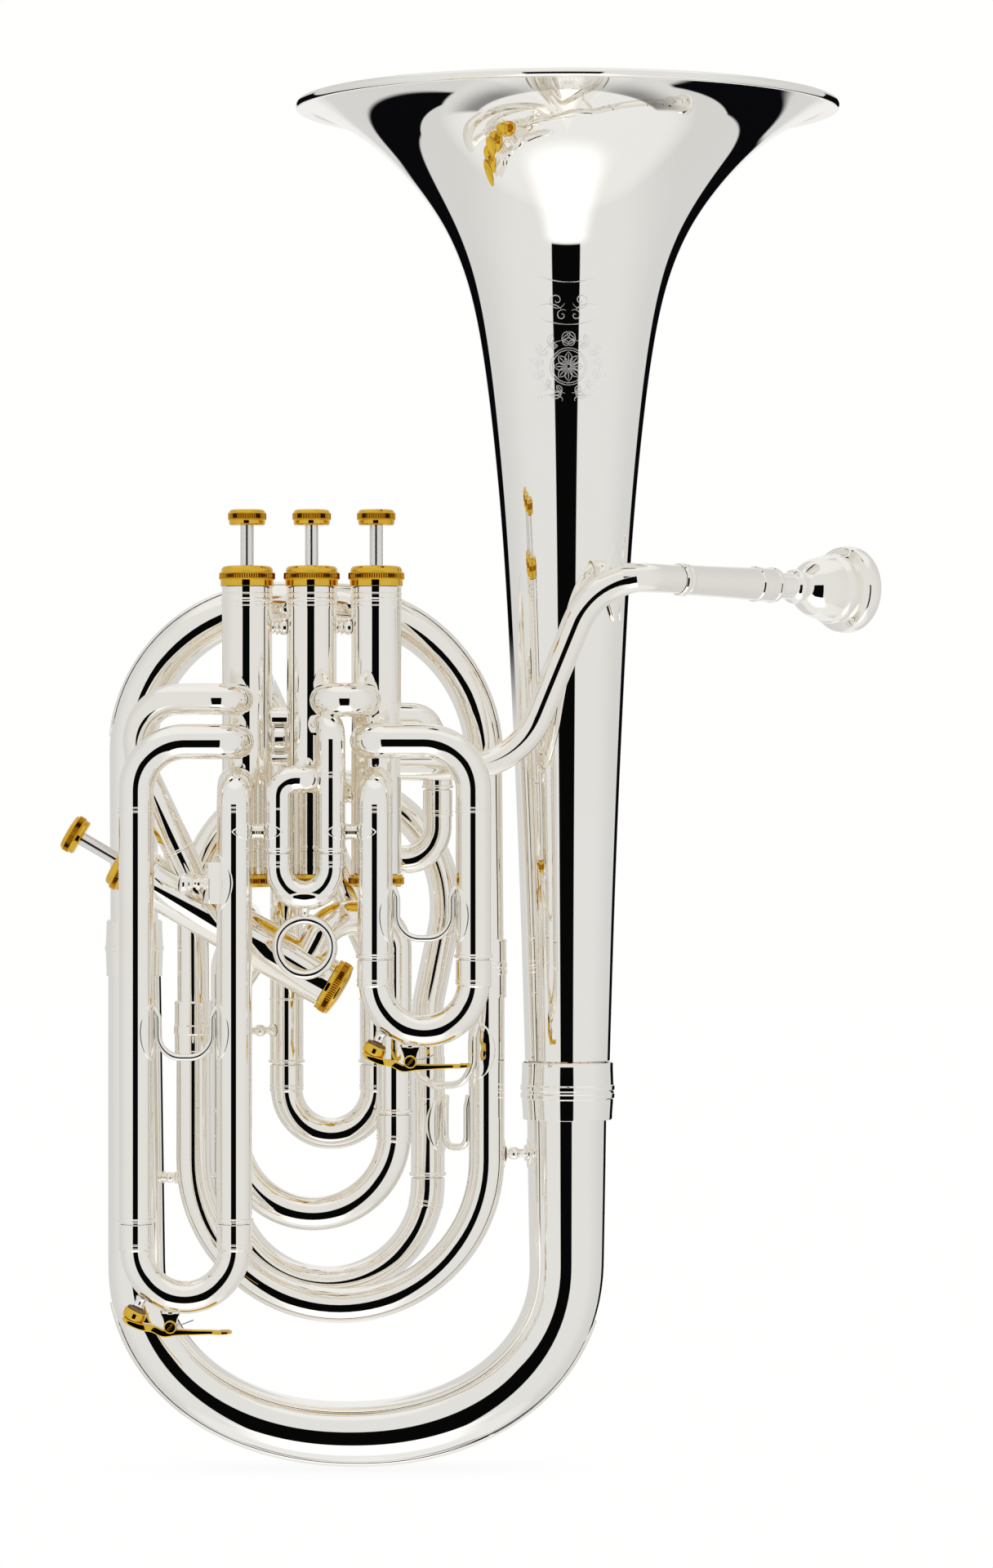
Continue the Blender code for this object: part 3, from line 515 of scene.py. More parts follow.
def lathe(name, prof, at, axis, body, mat=None, segs=72, nodes=(), closed=True, wave=None, sharp=40.0):
    """Turned solid. wave(angle, r, z) may change the radius for knurling, whose ribs get crest gold and a painted shade
    in the valleys.
    """
    mat = mat or SILVER
    if segs <= 96:
        segs = max(16, int(segs * FINE))
    q = UP.rotation_difference(Vector(axis).normalized())
    at = Vector(at)
    verts, rows, faces = [], [], []
    for r, z in prof:
        if r < 1e-5:
            rows.append((len(verts), 1))
            verts.append(at + q @ Vector((0, 0, z)))
            continue
        rows.append((len(verts), segs))
        for j in range(segs):
            a = 2 * math.pi * j / segs
            rr = r if wave is None else wave(a, r, z)
            verts.append(at + q @ Vector((rr * math.cos(a), rr * math.sin(a), z)))
    pairs = list(zip(rows, rows[1:])) + ([(rows[-1], rows[0])] if closed else [])
    for (a, na), (b, nb) in pairs:
        for j in range(segs):
            k = (j + 1) % segs
            if na == 1 and nb == 1:
                continue
            if na == 1:
                faces.append((a, b + k, b + j))
            elif nb == 1:
                faces.append((a + j, a + k, b))
            else:
                faces.append((a + j, a + k, b + k, b + j))
    obj = finish_mesh(name, verts, faces, body, mat, nodes, sharp)
    if wave is not None:
        paint_knurl(obj, at, q @ UP, wave)
    return obj


def paint_knurl(obj, at, axis, wave):
    """Painted shade on the cut faces: dark valley gold in the knurl's valleys, crest gold on the ridges."""
    mesh = obj.data
    mesh.materials.append(GOLD_CREST)
    mesh.materials.append(GOLD_VALLEY_SHADE)
    for poly in mesh.polygons:
        rel = [mesh.vertices[i].co * 1000 - HOME - at for i in poly.vertices]
        rz = [(math.sqrt(max(p.length_squared - p.dot(axis) ** 2, 0.0)), p.dot(axis)) for p in rel]
        if min(z for _, z in rz) < wave.lo - 0.02 or max(z for _, z in rz) > wave.hi + 0.02:
            continue
        if min(r for r, _ in rz) < wave.r_min - wave.depth or abs(poly.normal.dot(axis)) > 0.5:
            continue
        # painted shade: faces below mid-depth take the dark valley gold, the rest the crest gold
        poly.material_index = 2 if sum(r for r, _ in rz) / len(rz) < wave.peak - wave.depth * 0.5 else 1


def flange(name, at, axis, out, r, half_len, half_arc, body, mat=None, power=2.0, thick=0.8, sink=0.5, spokes=56):
    """Curved foot plate lying on a tube: at is on the tube's axis, out points to the plate's middle."""
    mat = mat or SILVER
    at, axis = Vector(at), Vector(axis).normalized()
    out = (Vector(out) - axis * Vector(out).dot(axis)).normalized()
    across = axis.cross(out)
    levels = [(0.35, 1.0), (0.7, 1.0), (0.84, 1.0), (0.90, 0.97), (0.95, 0.8), (0.985, 0.45), (1.0, 0.0)]

    def point(rho, th, rad):
        c, s = math.cos(th), math.sin(th)
        x = rho * half_len * math.copysign(abs(c) ** (2 / power), c)
        y = rho * half_arc * math.copysign(abs(s) ** (2 / power), s)
        return at + axis * x + (out * math.cos(y / r) + across * math.sin(y / r)) * rad

    verts, faces = [at + out * (r + thick)], []
    rows = []
    for rho, lift in levels + [(1.0, None), (0.6, None)]:
        rows.append(len(verts))
        rad = r - sink if lift is None else r + thick * lift
        verts += [point(rho, 2 * math.pi * j / spokes, rad) for j in range(spokes)]
    last = len(verts)
    verts.append(at + out * (r - sink))
    for j in range(spokes):
        k = (j + 1) % spokes
        faces.append((0, rows[0] + j, rows[0] + k))
        for a, b in zip(rows, rows[1:]):
            faces.append((a + j, b + j, b + k, a + k))
        faces.append((rows[-1] + j, last, rows[-1] + k))
    return finish_mesh(name, verts, faces, body, mat)


def loft(name, sections, body, mat, corner=0.35, per=4, nodes=()):
    """Rounded-rectangle sections (centre, half width vector, half height vector) joined into a solid bar."""
    verts, rows, faces = [], [], []
    loop = []
    for qx, qy, start in ((1, 1, 0), (-1, 1, 90), (-1, -1, 180), (1, -1, 270)):
        for k in range(per + 1):
            a = math.radians(start + 90 * k / per)
            loop.append((qx, qy, math.cos(a), math.sin(a)))
    for c, w, h in sections:
        c, w, h = Vector(c), Vector(w), Vector(h)
        rw, rh = w.length, h.length
        cr = min(corner, rw * 0.95, rh * 0.95)
        rows.append(len(verts))
        for qx, qy, cx, cy in loop:
            verts.append(c + w.normalized() * (qx * (rw - cr) + cx * cr) + h.normalized() * (qy * (rh - cr) + cy * cr))
    n = len(loop)
    for a, b in zip(rows, rows[1:]):
        faces += [(a + j, a + (j + 1) % n, b + (j + 1) % n, b + j) for j in range(n)]
    faces.append(tuple(rows[0] + j for j in reversed(range(n))))
    faces.append(tuple(rows[-1] + j for j in range(n)))
    return finish_mesh(name, verts, faces, body, mat, nodes, sharp=50)


def ball_stay(name, a, b, body="horn", rod=1.9, balls=((0.5, 3.2),), foot=3.4, nodes=(), mat=None, segs=48):
    """Turned stay: coved feet, a rod and round balls."""
    a, b = Vector(a), Vector(b)
    span = (b - a).length
    prof = [(0, 0), (foot, 0), (foot, 0.5)]
    for k in range(1, 5):
        t = math.pi / 2 * k / 4
        prof.append((foot - (foot - rod) * math.sin(t), 0.5 + 1.4 * (1 - math.cos(t))))
    for c, r in balls:
        half = math.acos(min(rod / r, 0.999))
        for k in range(11):
            t = -half + 2 * half * k / 10
            prof.append((r * math.cos(t), c * span + r * math.sin(t)))
    for k in range(4, 0, -1):
        t = math.pi / 2 * k / 4
        prof.append((foot - (foot - rod) * math.sin(t), span - 0.5 - 1.4 * (1 - math.cos(t))))
    prof += [(foot, span - 0.5), (foot, span), (0, span)]
    clean = [prof[0]]
    for r, z in prof[1:]:
        clean.append((r, min(span, max(z, clean[-1][1]))))
    return lathe(name, clean, a, b - a, body, mat, segs=segs, closed=False, nodes=nodes)


# ---------------------------------------------------------------- bell
chord = [0.0]
for (za, ra), (zb, rb) in zip(BELL_STATIONS, BELL_STATIONS[1:]):
    chord.append(chord[-1] + math.hypot(zb - za, rb - ra))
bell_r = cubic([(c, p[1]) for c, p in zip(chord, BELL_STATIONS)])
bell_z = cubic([(c, p[0]) for c, p in zip(chord, BELL_STATIONS)])


def bell_radius(z):
    lo, hi = 0.0, chord[-1]
    for _ in range(40):
        mid = (lo + hi) / 2
        lo, hi = (mid, hi) if bell_z(mid) < z else (lo, mid)
    return bell_r(lo)


def build_bell():
    n = int(110 * FINE)
    ts = [chord[-1] * (1 - (1 - k / n) ** 1.25) for k in range(n + 1)]
    outer = [(bell_r(t), bell_z(t)) for t in ts]
    inner = []
    for i, (r, z) in enumerate(outer):
        a, b = outer[max(i - 1, 0)], outer[min(i + 1, n)]
        d = Vector((b[0] - a[0], b[1] - a[1])).normalized()
        inner.append((r - BELL_WALL * d.y, z + (BELL_WALL * d.x if i else 0)))
    lip = []
    for k in range(15):
        t = math.radians(-95 + 265 * k / 14)
        lip.append((137.5 + 2.38 * math.cos(t), 699.62 + 2.38 * math.sin(t)))
    inner = [p for p in inner if p[0] < 134.2]
    outer = [p for p in outer if p[0] < 135.4]
    return lathe("bell_shell", outer + lip + inner[::-1], (0, 0, 0), UP, "horn", SILVER_PAINTED_FLAGS, segs=200,
                 nodes=("bell",))


build_bell()
lathe("bell_joint_sleeve",
      rounded([(22.75, 208.6), (23.35, 208.6), (23.55, 206.9), (23.45, 206.2), (23.75, 197.2), (24.3, 196.6),
               (24.35, 194.6), (23.85, 194.0), (23.85, 193.0), (24.3, 192.4), (24.25, 190.4), (23.65, 189.8),
               (23.05, 181.4), (23.1, 180.6), (22.9, 179.2), (21.6, 179.2), (22.3, 192)], 0.3),
      (0, 0, 0), UP, "horn", SILVER_PAINTED_FLAGS, segs=96, nodes=("bell_ferrule",))

# ---------------------------------------------------------------- main bows


class Smooth(Path):
    """A path through closely spaced points."""

    def __init__(self, points):
        self.pts = [Vector(p) for p in points]
        self.acc = [0.0]
        for a, b in zip(self.pts, self.pts[1:]):
            self.acc.append(self.acc[-1] + (b - a).length)
        self.length = self.acc[-1]

    def at(self, s):
        s = min(max(s, 0.0), self.length)
        k = min(int(np.searchsorted(self.acc, s, side='right')) - 1, len(self.pts) - 2)
        u = (s - self.acc[k]) / (self.acc[k + 1] - self.acc[k])
        p = self.pts[k].lerp(self.pts[k + 1], u)
        t0 = (self.pts[k + 1] - self.pts[max(k - 1, 0)]).normalized()
        t1 = (self.pts[min(k + 2, len(self.pts) - 1)] - self.pts[k]).normalized()
        return p, t0.lerp(t1, u).normalized()

    def stations(self, degrees=5.0, reach=35.0):
        n = int(self.length / 5.0)
        return [self.length * k / n for k in range(n + 1)]


def bottom_line():
    """Two near-straight branches joined by a rounded, slightly flattened bend."""
    a, b, power, low = 110.55, 88.0, 2.13, 17.7
    xc, zc = -110.95, low + b
    pts = [(-222.7 + 1.2 * k / 20, 0, 266 + (zc - 266) * k / 20) for k in range(20)]
    for k in range(121):
        t = math.pi * (1 + k / 120)
        c, s = math.cos(t), math.sin(t)
        pts.append((xc + a * math.copysign(abs(c) ** (2 / power), c), 0, zc - b * abs(s) ** (2 / power)))
    pts += [(-0.4, 0, zc + (209.0 - zc) * k / 12) for k in range(1, 13)]
    return pts


BOW = Smooth(bottom_line())
BOW_R = [(0, 13.3), (14, 13.6), (BOW.length * 0.5, 15.9), (BOW.length - 70, 19.8), (BOW.length, 20.9)]
sweep("bottom_bow_tube", BOW, BOW_R, "horn", SILVER_PAINTED_FLAGS, wall=1.0, sides=72, degrees=4, nodes=("bottom_bow",))
TOP = Path([(-222.7, 0, 266.8), (-223.6, 0, 443.5), (-44.2, -8, 443.5), (-41.7, -8, 258)], [76.0, 79.0])
TOP_R = [(0, 12.3), (150, 12.1), (TOP.length - 180, 10.2), (TOP.length - 60, 9.3), (TOP.length, 9.0)]
sweep("top_bow_tube", TOP, TOP_R, "horn", wall=0.9, sides=56, degrees=4, nodes=("top_bow",))
SECOND = Path([(-41.6, -8, 257.4), (-41.6, -8, 84), (-191.9, -8, 84), (-191.9, -8, 226.0)], [75.1, 75.1])
sweep("second_bow_tube", SECOND, [(0, 9.3), (SECOND.length, 8.7)], "horn", wall=0.8, sides=48, degrees=4,
      nodes=("second_bow",))
INNER = Path([(-191.9, -8, 226.6), (-192.6, -8, 352), (-62.9, TUNE_Y - 3, 352), (-62.9, TUNE_Y, 282),
              (-72.0, TUNE_Y, 238), (-72.0, TUNE_Y, 149.2)], [63.5, 63.5, 40, 40])
sweep("inner_top_bow_tube", INNER, [(0, 8.2), (150, 8.0), (INNER.length - 90, 8.2), (INNER.length - 60, 8.5),
                                    (INNER.length, LEG_R)], "horn", sides=48, degrees=4,
      feats=(bead(INNER.length - 1.1, 1.0, 0.85), collar(INNER.length - 62, INNER.length - 40, 0.35)),
      nodes=("inner_top_bow",))

lathe("left_bow_sleeve",
      rounded([(13.0, 281.8), (13.5, 281.8), (14.5, 280.6), (14.3, 279.6), (14.75, 268.6), (15.2, 268.0),
               (15.2, 266.2), (14.75, 265.6), (14.35, 255.0), (14.5, 254.2), (14.3, 252.8), (13.95, 252.8),
               (13.95, 266.4), (12.95, 267.5)], 0.3), (-222.7, 0, 0), UP, "horn", segs=80, nodes=("left_ferrule",))
lathe("right_bow_sleeve",
      rounded([(9.75, 272), (10.2, 272), (10.55, 271.0), (10.3, 270.2), (10.35, 260.2), (10.75, 259.7), (10.75, 257.9),
               (10.4, 257.4), (10.4, 256.6), (10.7, 256.0), (10.65, 254.3), (10.3, 253.7), (10.2, 243.6),
               (10.4, 243.0), (10.2, 242), (9.75, 242)], 0.25), (-41.7, -8, 0), UP, "horn", segs=72,
      nodes=("right_ferrule",))
lathe("inner_bow_sleeve",
      rounded([(9.15, 240.2), (9.5, 240.2), (9.8, 239.2), (9.6, 238.4), (9.65, 228.1), (10.05, 227.5), (10.05, 223.6),
               (9.65, 223.0), (9.55, 215.0), (9.7, 214.4), (9.5, 213.4), (9.15, 213.4)], 0.25),
      (-191.9, -8, 0), UP, "horn", segs=72, nodes=("inner_ferrule",))


def strip(name, path, read, s0, s1, half_w, proud, out_of, node, lift=0.2, point=9.0):
    """Wear strip along the outer edge of a bow: pointed ends, rolled borders."""
    n = int(84 * FINE)
    across = 12
    stations = [s0 + (s1 - s0) * k / n for k in range(n + 1)]
    verts, rows, faces = [], [], []
    for s in stations:
        p, t = path.at(s)
        out = out_of(t)
        end = min((s - s0) / point, (s1 - s) / point, 1.0)
        hw = half_w * max(0.10, math.sin(math.pi / 2 * max(end, 0.0)) ** 0.7)
        r = read(s)
        rows.append(len(verts))
        top = []
        for k in range(across + 1):
            w = hw * (2 * k / across - 1)
            edge = min(1.0, (hw - abs(w)) / 0.9)
            rise = proud * math.sqrt(max(0.0, 1 - (1 - edge) ** 2)) * (1.0 if abs(w) < hw - 1.3 else 1.12)
            top.append((w, r + lift + max(rise, 0.04)))
        loop = top + [(hw * (1 - 2 * k / across), r + lift - 0.25) for k in range(across + 1)]
        for w, rad in loop:
            a = w / r
            verts.append(p + (out * math.cos(a) + Vector((0, 1, 0)) * math.sin(a)) * rad)
    m = 2 * across + 2
    for a, b in zip(rows, rows[1:]):
        faces += [(a + j, a + (j + 1) % m, b + (j + 1) % m, b + j) for j in range(m)]
    faces.append(tuple(rows[0] + j for j in reversed(range(m))))
    faces.append(tuple(rows[-1] + j for j in range(m)))
    return finish_mesh(name, verts, faces, "horn", SILVER, (node,), sharp=55)


strip("bottom_bow_wear_strip", BOW, lambda s: gentle(BOW_R, s), 178, BOW.length - 128, 7.0, 0.85,
      lambda t: -t.cross(Vector((0, 1, 0))).normalized(), "bottom_bow_guard")
strip("top_bow_wear_strip", TOP, lambda s: gentle(TOP_R, s), 108, TOP.length - 106, 5.0, 0.5,
      lambda t: t.cross(Vector((0, 1, 0))).normalized(), "top_bow_guard")


# ---------------------------------------------------------------- valves
def ribs(count, depth, lo, hi, r_min, peak):
    """Straight knurling between two heights."""
    def f(a, r, z):
        if not (lo < z < hi) or r < r_min:
            return r
        fade = min(1.0, (z - lo) / 0.35, (hi - z) / 0.35)
        return r - depth * fade * (0.5 - 0.5 * math.cos(count * a)) ** 0.8
    f.lo, f.hi, f.r_min, f.depth, f.peak = lo, hi, r_min, depth, peak
    return f


def dense(prof, lo, hi, step=0.45):
    """Adds rings to the stretch of a profile between two heights so that knurling has something to bend."""
    out = []
    for a, b in zip(prof, prof[1:] + prof[:1]):
        out.append(a)
        if min(a[1], b[1]) >= lo - 0.01 and max(a[1], b[1]) <= hi + 0.01 and abs(a[0] - b[0]) < 0.2:
            n = int(abs(a[1] - b[1]) / step)
            out += [(a[0] + (b[0] - a[0]) * k / n, a[1] + (b[1] - a[1]) * k / n) for k in range(1, n)]
    return out


def valve(number, foot, axis, length):
    n = str(number)
    body = "valve_%s_piston" % n
    foot, axis = Vector(foot), Vector(axis).normalized()
    L = length
    ring = lambda z, w, h: [(CASING_R + 0.1 + d * h, z + t * w) for t, d in
                            ((-1, 0), (-0.75, 0.66), (-0.35, 0.94), (0, 1.0), (0.35, 0.94), (0.75, 0.66), (1, 0))]
    wall = [(BORE_R + 0.05, 0.0), (CASING_R, 0.0), (CASING_R, L - 11.4), (CASING_R + 0.1, L - 11.2)]
    wall += ring(L - 9.4, 0.4, 0.2) + ring(L - 6.6, 1.05, 0.5) + ring(L - 3.4, 0.5, 0.3)
    wall += [(CASING_R + 0.1, L), (BORE_R + 0.05, L)]
    lathe("casing_%s_barrel" % n, wall, foot, axis, "horn", segs=96, nodes=("casing_" + n,))
    cap = [(3.9, L + 10.6), (10.9, L + 10.6), (12.1, L + 10.15), (12.85, L + 9.3), (13.05, L + 8.3), (13.1, L + 7.35),
           (13.9, L + 7.2), (CAP_BAND_R, L + 6.9), (CAP_BAND_R, L + 3.95), (13.9, L + 3.65), (13.4, L + 3.55),
           (13.4, L + 0.3), (10.6, L + 0.3), (10.6, L - 3.5), (9.2, L - 3.5), (9.2, L + 7.2), (3.9, L + 7.2)]
    lathe("top_cap_%s_gold" % n, dense(rounded(cap, 0.22), L + 3.9, L + 6.95), foot, axis, "horn", GOLD,
          segs=288, nodes=("top_cap_" + n,), wave=ribs(72, 0.42, L + 3.85, L + 7.0, 13.7, CAP_BAND_R), sharp=65)
    low = [(0, -4.6), (9.2, -4.6), (9.2, 4.0), (10.6, 4.0), (10.6, -0.3), (13.4, -0.3), (13.5, -1.3), (13.9, -1.6),
           (14.05, -2.0), (14.05, -4.9), (13.8, -5.3), (13.0, -5.6), (12.2, -6.5), (9.0, -6.8), (5.0, -6.6),
           (4.4, -7.0), (0, -7.0)]
    band = (-4.95, -1.95)
    if number == 4:
        low = low[:5] + [(13.7, -0.3), (13.75, -2.2), (14.05, -2.6), (14.05, -6.2), (13.75, -6.6), (13.7, -7.4),
                         (13.0, -7.9), (9.0, -8.9), (4.5, -9.3), (0, -9.4)]
        band = (-6.15, -2.65)
    lathe("bottom_cap_%s_gold" % n, dense(rounded(low, 0.25, closed=False), *band), foot, axis,
          "horn", GOLD, segs=288, nodes=("bottom_cap_" + n,), closed=False,
          wave=ribs(72, 0.42, band[0] - 0.05, band[1] + 0.05, 13.6, 14.05), sharp=65)
    high = min(122.0, L - 22.0)
    stem = [(0, 51.0), (9.1, 51.0), (9.1, 30.9), (PISTON_R, 30.9), (PISTON_R, high), (6.0, high), (4.2, high + 1.0), (STEM_R, high + 2.0),
            (STEM_R, L + 12.0), (STEM_R, L + 31.2), (0, L + 31.2)]
    lathe("piston_%s_turned" % n, rounded(stem, 0.3, closed=False), foot, axis, body, SATIN, segs=72,
          nodes=("piston_" + n,), closed=False)
    button = [(0, L + 38.0), (3.5, L + 38.1), (6.4, L + 38.6), (7.3, L + 38.95), (8.4, L + 38.7), (9.0, L + 38.0),
              (9.1, L + 37.5), (9.5, L + 37.3), (BUTTON_R, L + 37.0), (BUTTON_R, L + 33.9), (9.5, L + 33.6),
              (9.1, L + 33.4), (9.1, L + 31.7), (8.4, L + 31.0), (4.2, L + 30.9), (0, L + 30.9)]
    lathe("finger_button_%s_gold" % n, dense(rounded(button, 0.2, closed=False), L + 33.8, L + 37.1, 0.5), foot, axis,
          body, GOLD, segs=256, nodes=("finger_button_" + n,), closed=False,
          wave=ribs(64, 0.36, L + 33.75, L + 37.15, 9.3, BUTTON_R), sharp=65)
    return foot, axis


FOOT_Z = CASING_TOP - CASING_LEN
barrels = {}
for k, x in enumerate(VALVE_X):
    barrels[k + 1] = valve(k + 1, (x, VALVE_Y, FOOT_Z), UP, CASING_LEN)
tilt = math.radians(V4_TILT)
V4_AXIS = Vector((-math.cos(tilt), 0.0, math.sin(tilt)))
barrels[4] = valve(4, V4_FOOT, V4_AXIS, V4_LEN)
TRIM = {k: (b[0], b[1], CASING_R - 0.7) for k, b in barrels.items()}
LEG_FEATS = lambda L, z_end, z_ring: (bead(L - 1.1, 1.0, 0.85), bead(L - (z_ring - z_end), 0.55, 0.35),
                                      bead(L - (z_ring - z_end) - 1.9, 0.45, 0.25))

p = Path([(-101, -60, 373), (-101, SLIDE_Y, 373), (S1_X[1], SLIDE_Y, 373), (S1_X[1], SLIDE_Y, 264.8)], [10, 24.6])
sweep("slide_1_upper_tube", p, LEG_R, "horn", feats=LEG_FEATS(p.length, 264.8, 337.7), trim0=TRIM[1])
p = Path([(S1_X[0], -60, 351.8), (S1_X[0], SLIDE_Y, 351.8), (S1_X[0], SLIDE_Y, 264.8)], [12])
sweep("slide_1_lower_tube", p, LEG_R, "horn", feats=LEG_FEATS(p.length, 264.8, 337.7), trim0=TRIM[1])
p = Path([(-127, -60, 381.6), (S2_X[1], SLIDE_Y, 381.6), (S2_X[1], SLIDE_Y, 317.6)], [9])
sweep("slide_2_right_tube", p, 7.05, "horn", feats=LEG_FEATS(p.length, 317.6, 355.2), trim0=TRIM[2])
p = Path([(-128.5, -60, 354.0), (-128.5, SLIDE_Y, 354.0), (S2_X[0], SLIDE_Y, 354.0), (S2_X[0], SLIDE_Y, 317.6)],
         [7.6, 8.8])
sweep("slide_2_left_tube", p, 7.05, "horn", feats=(bead(p.length - 1.1, 1.0, 0.8), bead(p.length - 21.5, 0.5, 0.35)),
      trim0=TRIM[2])
p = Path([(-166.5, -60, 372.6), (-166.5, SLIDE_Y, 372.6), (S3_X[0], SLIDE_Y, 372.6), (S3_X[0], SLIDE_Y, 133.3)],
         [10, 24.4])
sweep("slide_3_upper_tube", p, LEG_R, "horn", feats=LEG_FEATS(p.length, 133.3, 337.7), trim0=TRIM[3])
p = Path([(S3_X[1], -60, 351.8), (S3_X[1], SLIDE_Y, 351.8), (S3_X[1], SLIDE_Y, 133.3)], [12])
sweep("slide_3_lower_tube", p, LEG_R, "horn", feats=LEG_FEATS(p.length, 133.3, 337.7), trim0=TRIM[3])

p = Path([(-181, -62, 286), (-213.5, -69, 356), (-219.5, -74, 393.8), (-166, -86, 393.8), (-166, -60, 393.8)],
         [30, 22, 10])
sweep("link_3_4_tube", p, 7.9, "horn", trim0=TRIM[4], trim1=TRIM[3], lead0=15.0, lead1=13.6,
      feats=(bead(36.0, 0.8, 0.55), bead(84.0, 0.8, 0.5), bead(86.6, 0.5, 0.3)))
p = Path([(-156, -60, 271.5), (S4_X[0], S4_Y, 250), (S4_X[0], S4_Y, 185.1)], [18])
sweep("slide_4_left_tube", p, LEG_R, "horn", trim0=TRIM[4], lead0=12.0,
      feats=(bead(p.length - 1.1, 1.0, 0.85), bead(p.length - 57.0, 0.55, 0.35)))
p = Path([(-134, -60, 259), (-121, -62, 284), (S4_X[1], S4_Y, 284), (S4_X[1], S4_Y, 185.1)], [16, 16])
sweep("slide_4_right_tube", p, LEG_R, "horn", trim0=TRIM[4], lead0=14.5,
      feats=(bead(p.length - 1.1, 1.0, 0.85), bead(p.length - 57.0, 0.55, 0.35)))
p = Path([(-166, -45.5, 283), (-166, 8, 283), (TUNE_X[0], TUNE_Y, 258), (TUNE_X[0], TUNE_Y, 149.2)], [16, 16])
sweep("tuning_leg_tube", p, LEG_R, "horn", nodes=("tuning_leg",), feats=(bead(p.length - 1.1, 1.0, 0.85),))
p = Path([(-158, -46.6, 404), (-158, -24, 404), (C3_X[0], C3_Y, 370), (C3_X[0], C3_Y, 209.4)], [14, 20])
sweep("comp_3_left_tube", p, 8.5, "horn", nodes=("comp_3_left_leg",),
      feats=(bead(p.length - 1.0, 0.9, 0.8), bead(p.length - 32.6, 0.6, 0.5)))
p = Path([(-126, -46.4, 376), (-126, -24, 376), (-122, C3_Y, 318), (C3_X[1], C3_Y, 262), (C3_X[1], C3_Y, 209.4)],
         [12, 30, 30])
sweep("comp_3_right_tube", p, 8.5, "horn", nodes=("comp_3_right_leg",),
      feats=(bead(p.length - 1.0, 0.9, 0.8), bead(p.length - 32.6, 0.6, 0.5)))
p = Path([(-99.5, -46.4, 377.5), (C1_X[0], C1_Y, 377.5), (C1_X[0], C1_Y, 349.3)], [8])
sweep("comp_1_left_tube", p, 7.5, "horn", nodes=("comp_1_left_leg",), feats=(bead(p.length - 0.9, 0.8, 0.6),))
p = Path([(-97, -59, 385), (-74, -55, 385), (C1_X[1], C1_Y, 371), (C1_X[1], C1_Y, 349.3)], [10, 8])
sweep("comp_1_right_tube", p, 7.5, "horn", trim0=TRIM[1], feats=(bead(p.length - 0.9, 0.8, 0.6),))

# short crossover bend in front of the first two valves, and the two knuckles between the second and third
p = Path([(-121.4, -60, 393.4), (-121.4, -88.2, 393.4), (-102.4, -88.2, 393.4), (-102.4, -60, 393.4)], [9.5, 9.5])
sweep("crossover_1_2_bend", p, 8.5, "horn", trim0=TRIM[2], trim1=TRIM[1], degrees=5, sides=48)
for k, (z, r) in enumerate(((384.6, 5.6), (364.3, 3.8))):
    a, b = Vector((-162.0, -56.0, z)), Vector((-129.5, -56.0, z))
    sweep("knuckle_2_3_%d" % (k + 1), Path([a, b]), r, "horn", trim0=TRIM[3], trim1=TRIM[2], lead0=12.9, lead1=12.9)
lathe("knuckle_ring_2_3", rounded([(4.6, -3.2), (6.4, -3.2), (6.9, -2.2), (6.9, 2.2), (6.4, 3.2), (4.6, 3.2)], 0.5),
      (-145.8, -56.0, 374.6), (1, 0, 0), "horn", segs=56)


# ---------------------------------------------------------------- sliding bows
def slide_bow(name, node, body, xs, y, join_z, crook_z, inner, r_in, r_out, line_z, r_crook, sides=44):
    """Inner legs, end sleeves with fine rings, and the U-bend."""
    half = (xs[1] - xs[0]) / 2
    top = join_z + inner
    path = Path([(xs[0], y, top), (xs[0], y, crook_z - half), (xs[1], y, crook_z - half), (xs[1], y, top)],
                [half, half])
    total = path.length
    mark = inner + (join_z - line_z)
    table = [(0, r_in), (inner - 0.05, r_in), (inner, r_out), (mark + 0.9, r_out), (mark + 1.8, r_crook)]

    def read(s):
        s = min(s, total - s)
        for (x0, y0), (x1, y1) in zip(table, table[1:]):
            if s <= x1:
                return y0 + (y1 - y0) * max(0.0, s - x0) / (x1 - x0)
        return r_crook
    feats = []
    for flip in (False, True):
        for f in ([(inner - 0.3, 0.0), (inner - 0.05, 0.0), (inner, -0.35), (inner + 0.12, -0.1), (inner + 0.35, 0.0),
                   (inner + 0.8, 0.0)], bead(mark - 1.5, 0.5, 0.32), bead(mark + 0.45, 0.45, 0.3),
                  [(mark + 0.95, 0.0), (mark + 1.25, 0.0), (mark + 1.55, 0.0), (mark + 1.8, 0.0), (mark + 2.3, 0.0)]):
            feats.append([(total - s, h) for s, h in reversed(f)] if flip else f)
    return sweep(name, path, read, body, sides=sides, feats=feats, degrees=4, nodes=(node,))


slide_bow("first_slide_crook", "slide_1_bow", "slide_1", S1_X, SLIDE_Y, 264.1, 253.0, 62, INNER_R, LEG_R, 252.2, 8.1)
slide_bow("second_slide_crook", "slide_2_bow", "slide_2", S2_X, SLIDE_Y, 316.9, 309.6, 24, 5.75, 7.05, 311.0, 6.75)
slide_bow("third_slide_crook", "slide_3_bow", "slide_3", S3_X, SLIDE_Y, 132.6, 120.4, 110, INNER_R, LEG_R, 120.9, 8.1)
slide_bow("fourth_slide_crook", "slide_4_bow", "slide_4", S4_X, S4_Y, 184.4, 175.0, 48, INNER_R, LEG_R, 172.0, 8.5)
slide_bow("main_tuning_crook", "tuning_slide_bow", "main_tuning_slide", TUNE_X, TUNE_Y, 148.5, 145.5, 62, INNER_R,
          LEG_R, 135.0, 8.6)
slide_bow("comp_3_crook", "comp_slide_3_bow", "comp_slide_3", C3_X, C3_Y, 208.7, 196.2, 34, 7.3, 8.5, 196.4, 8.1)
slide_bow("comp_1_crook", "comp_slide_1_bow", "comp_slide_1", C1_X, C1_Y, 348.6, 330.0, 16, 6.15, 7.5, 336.2, 7.2)


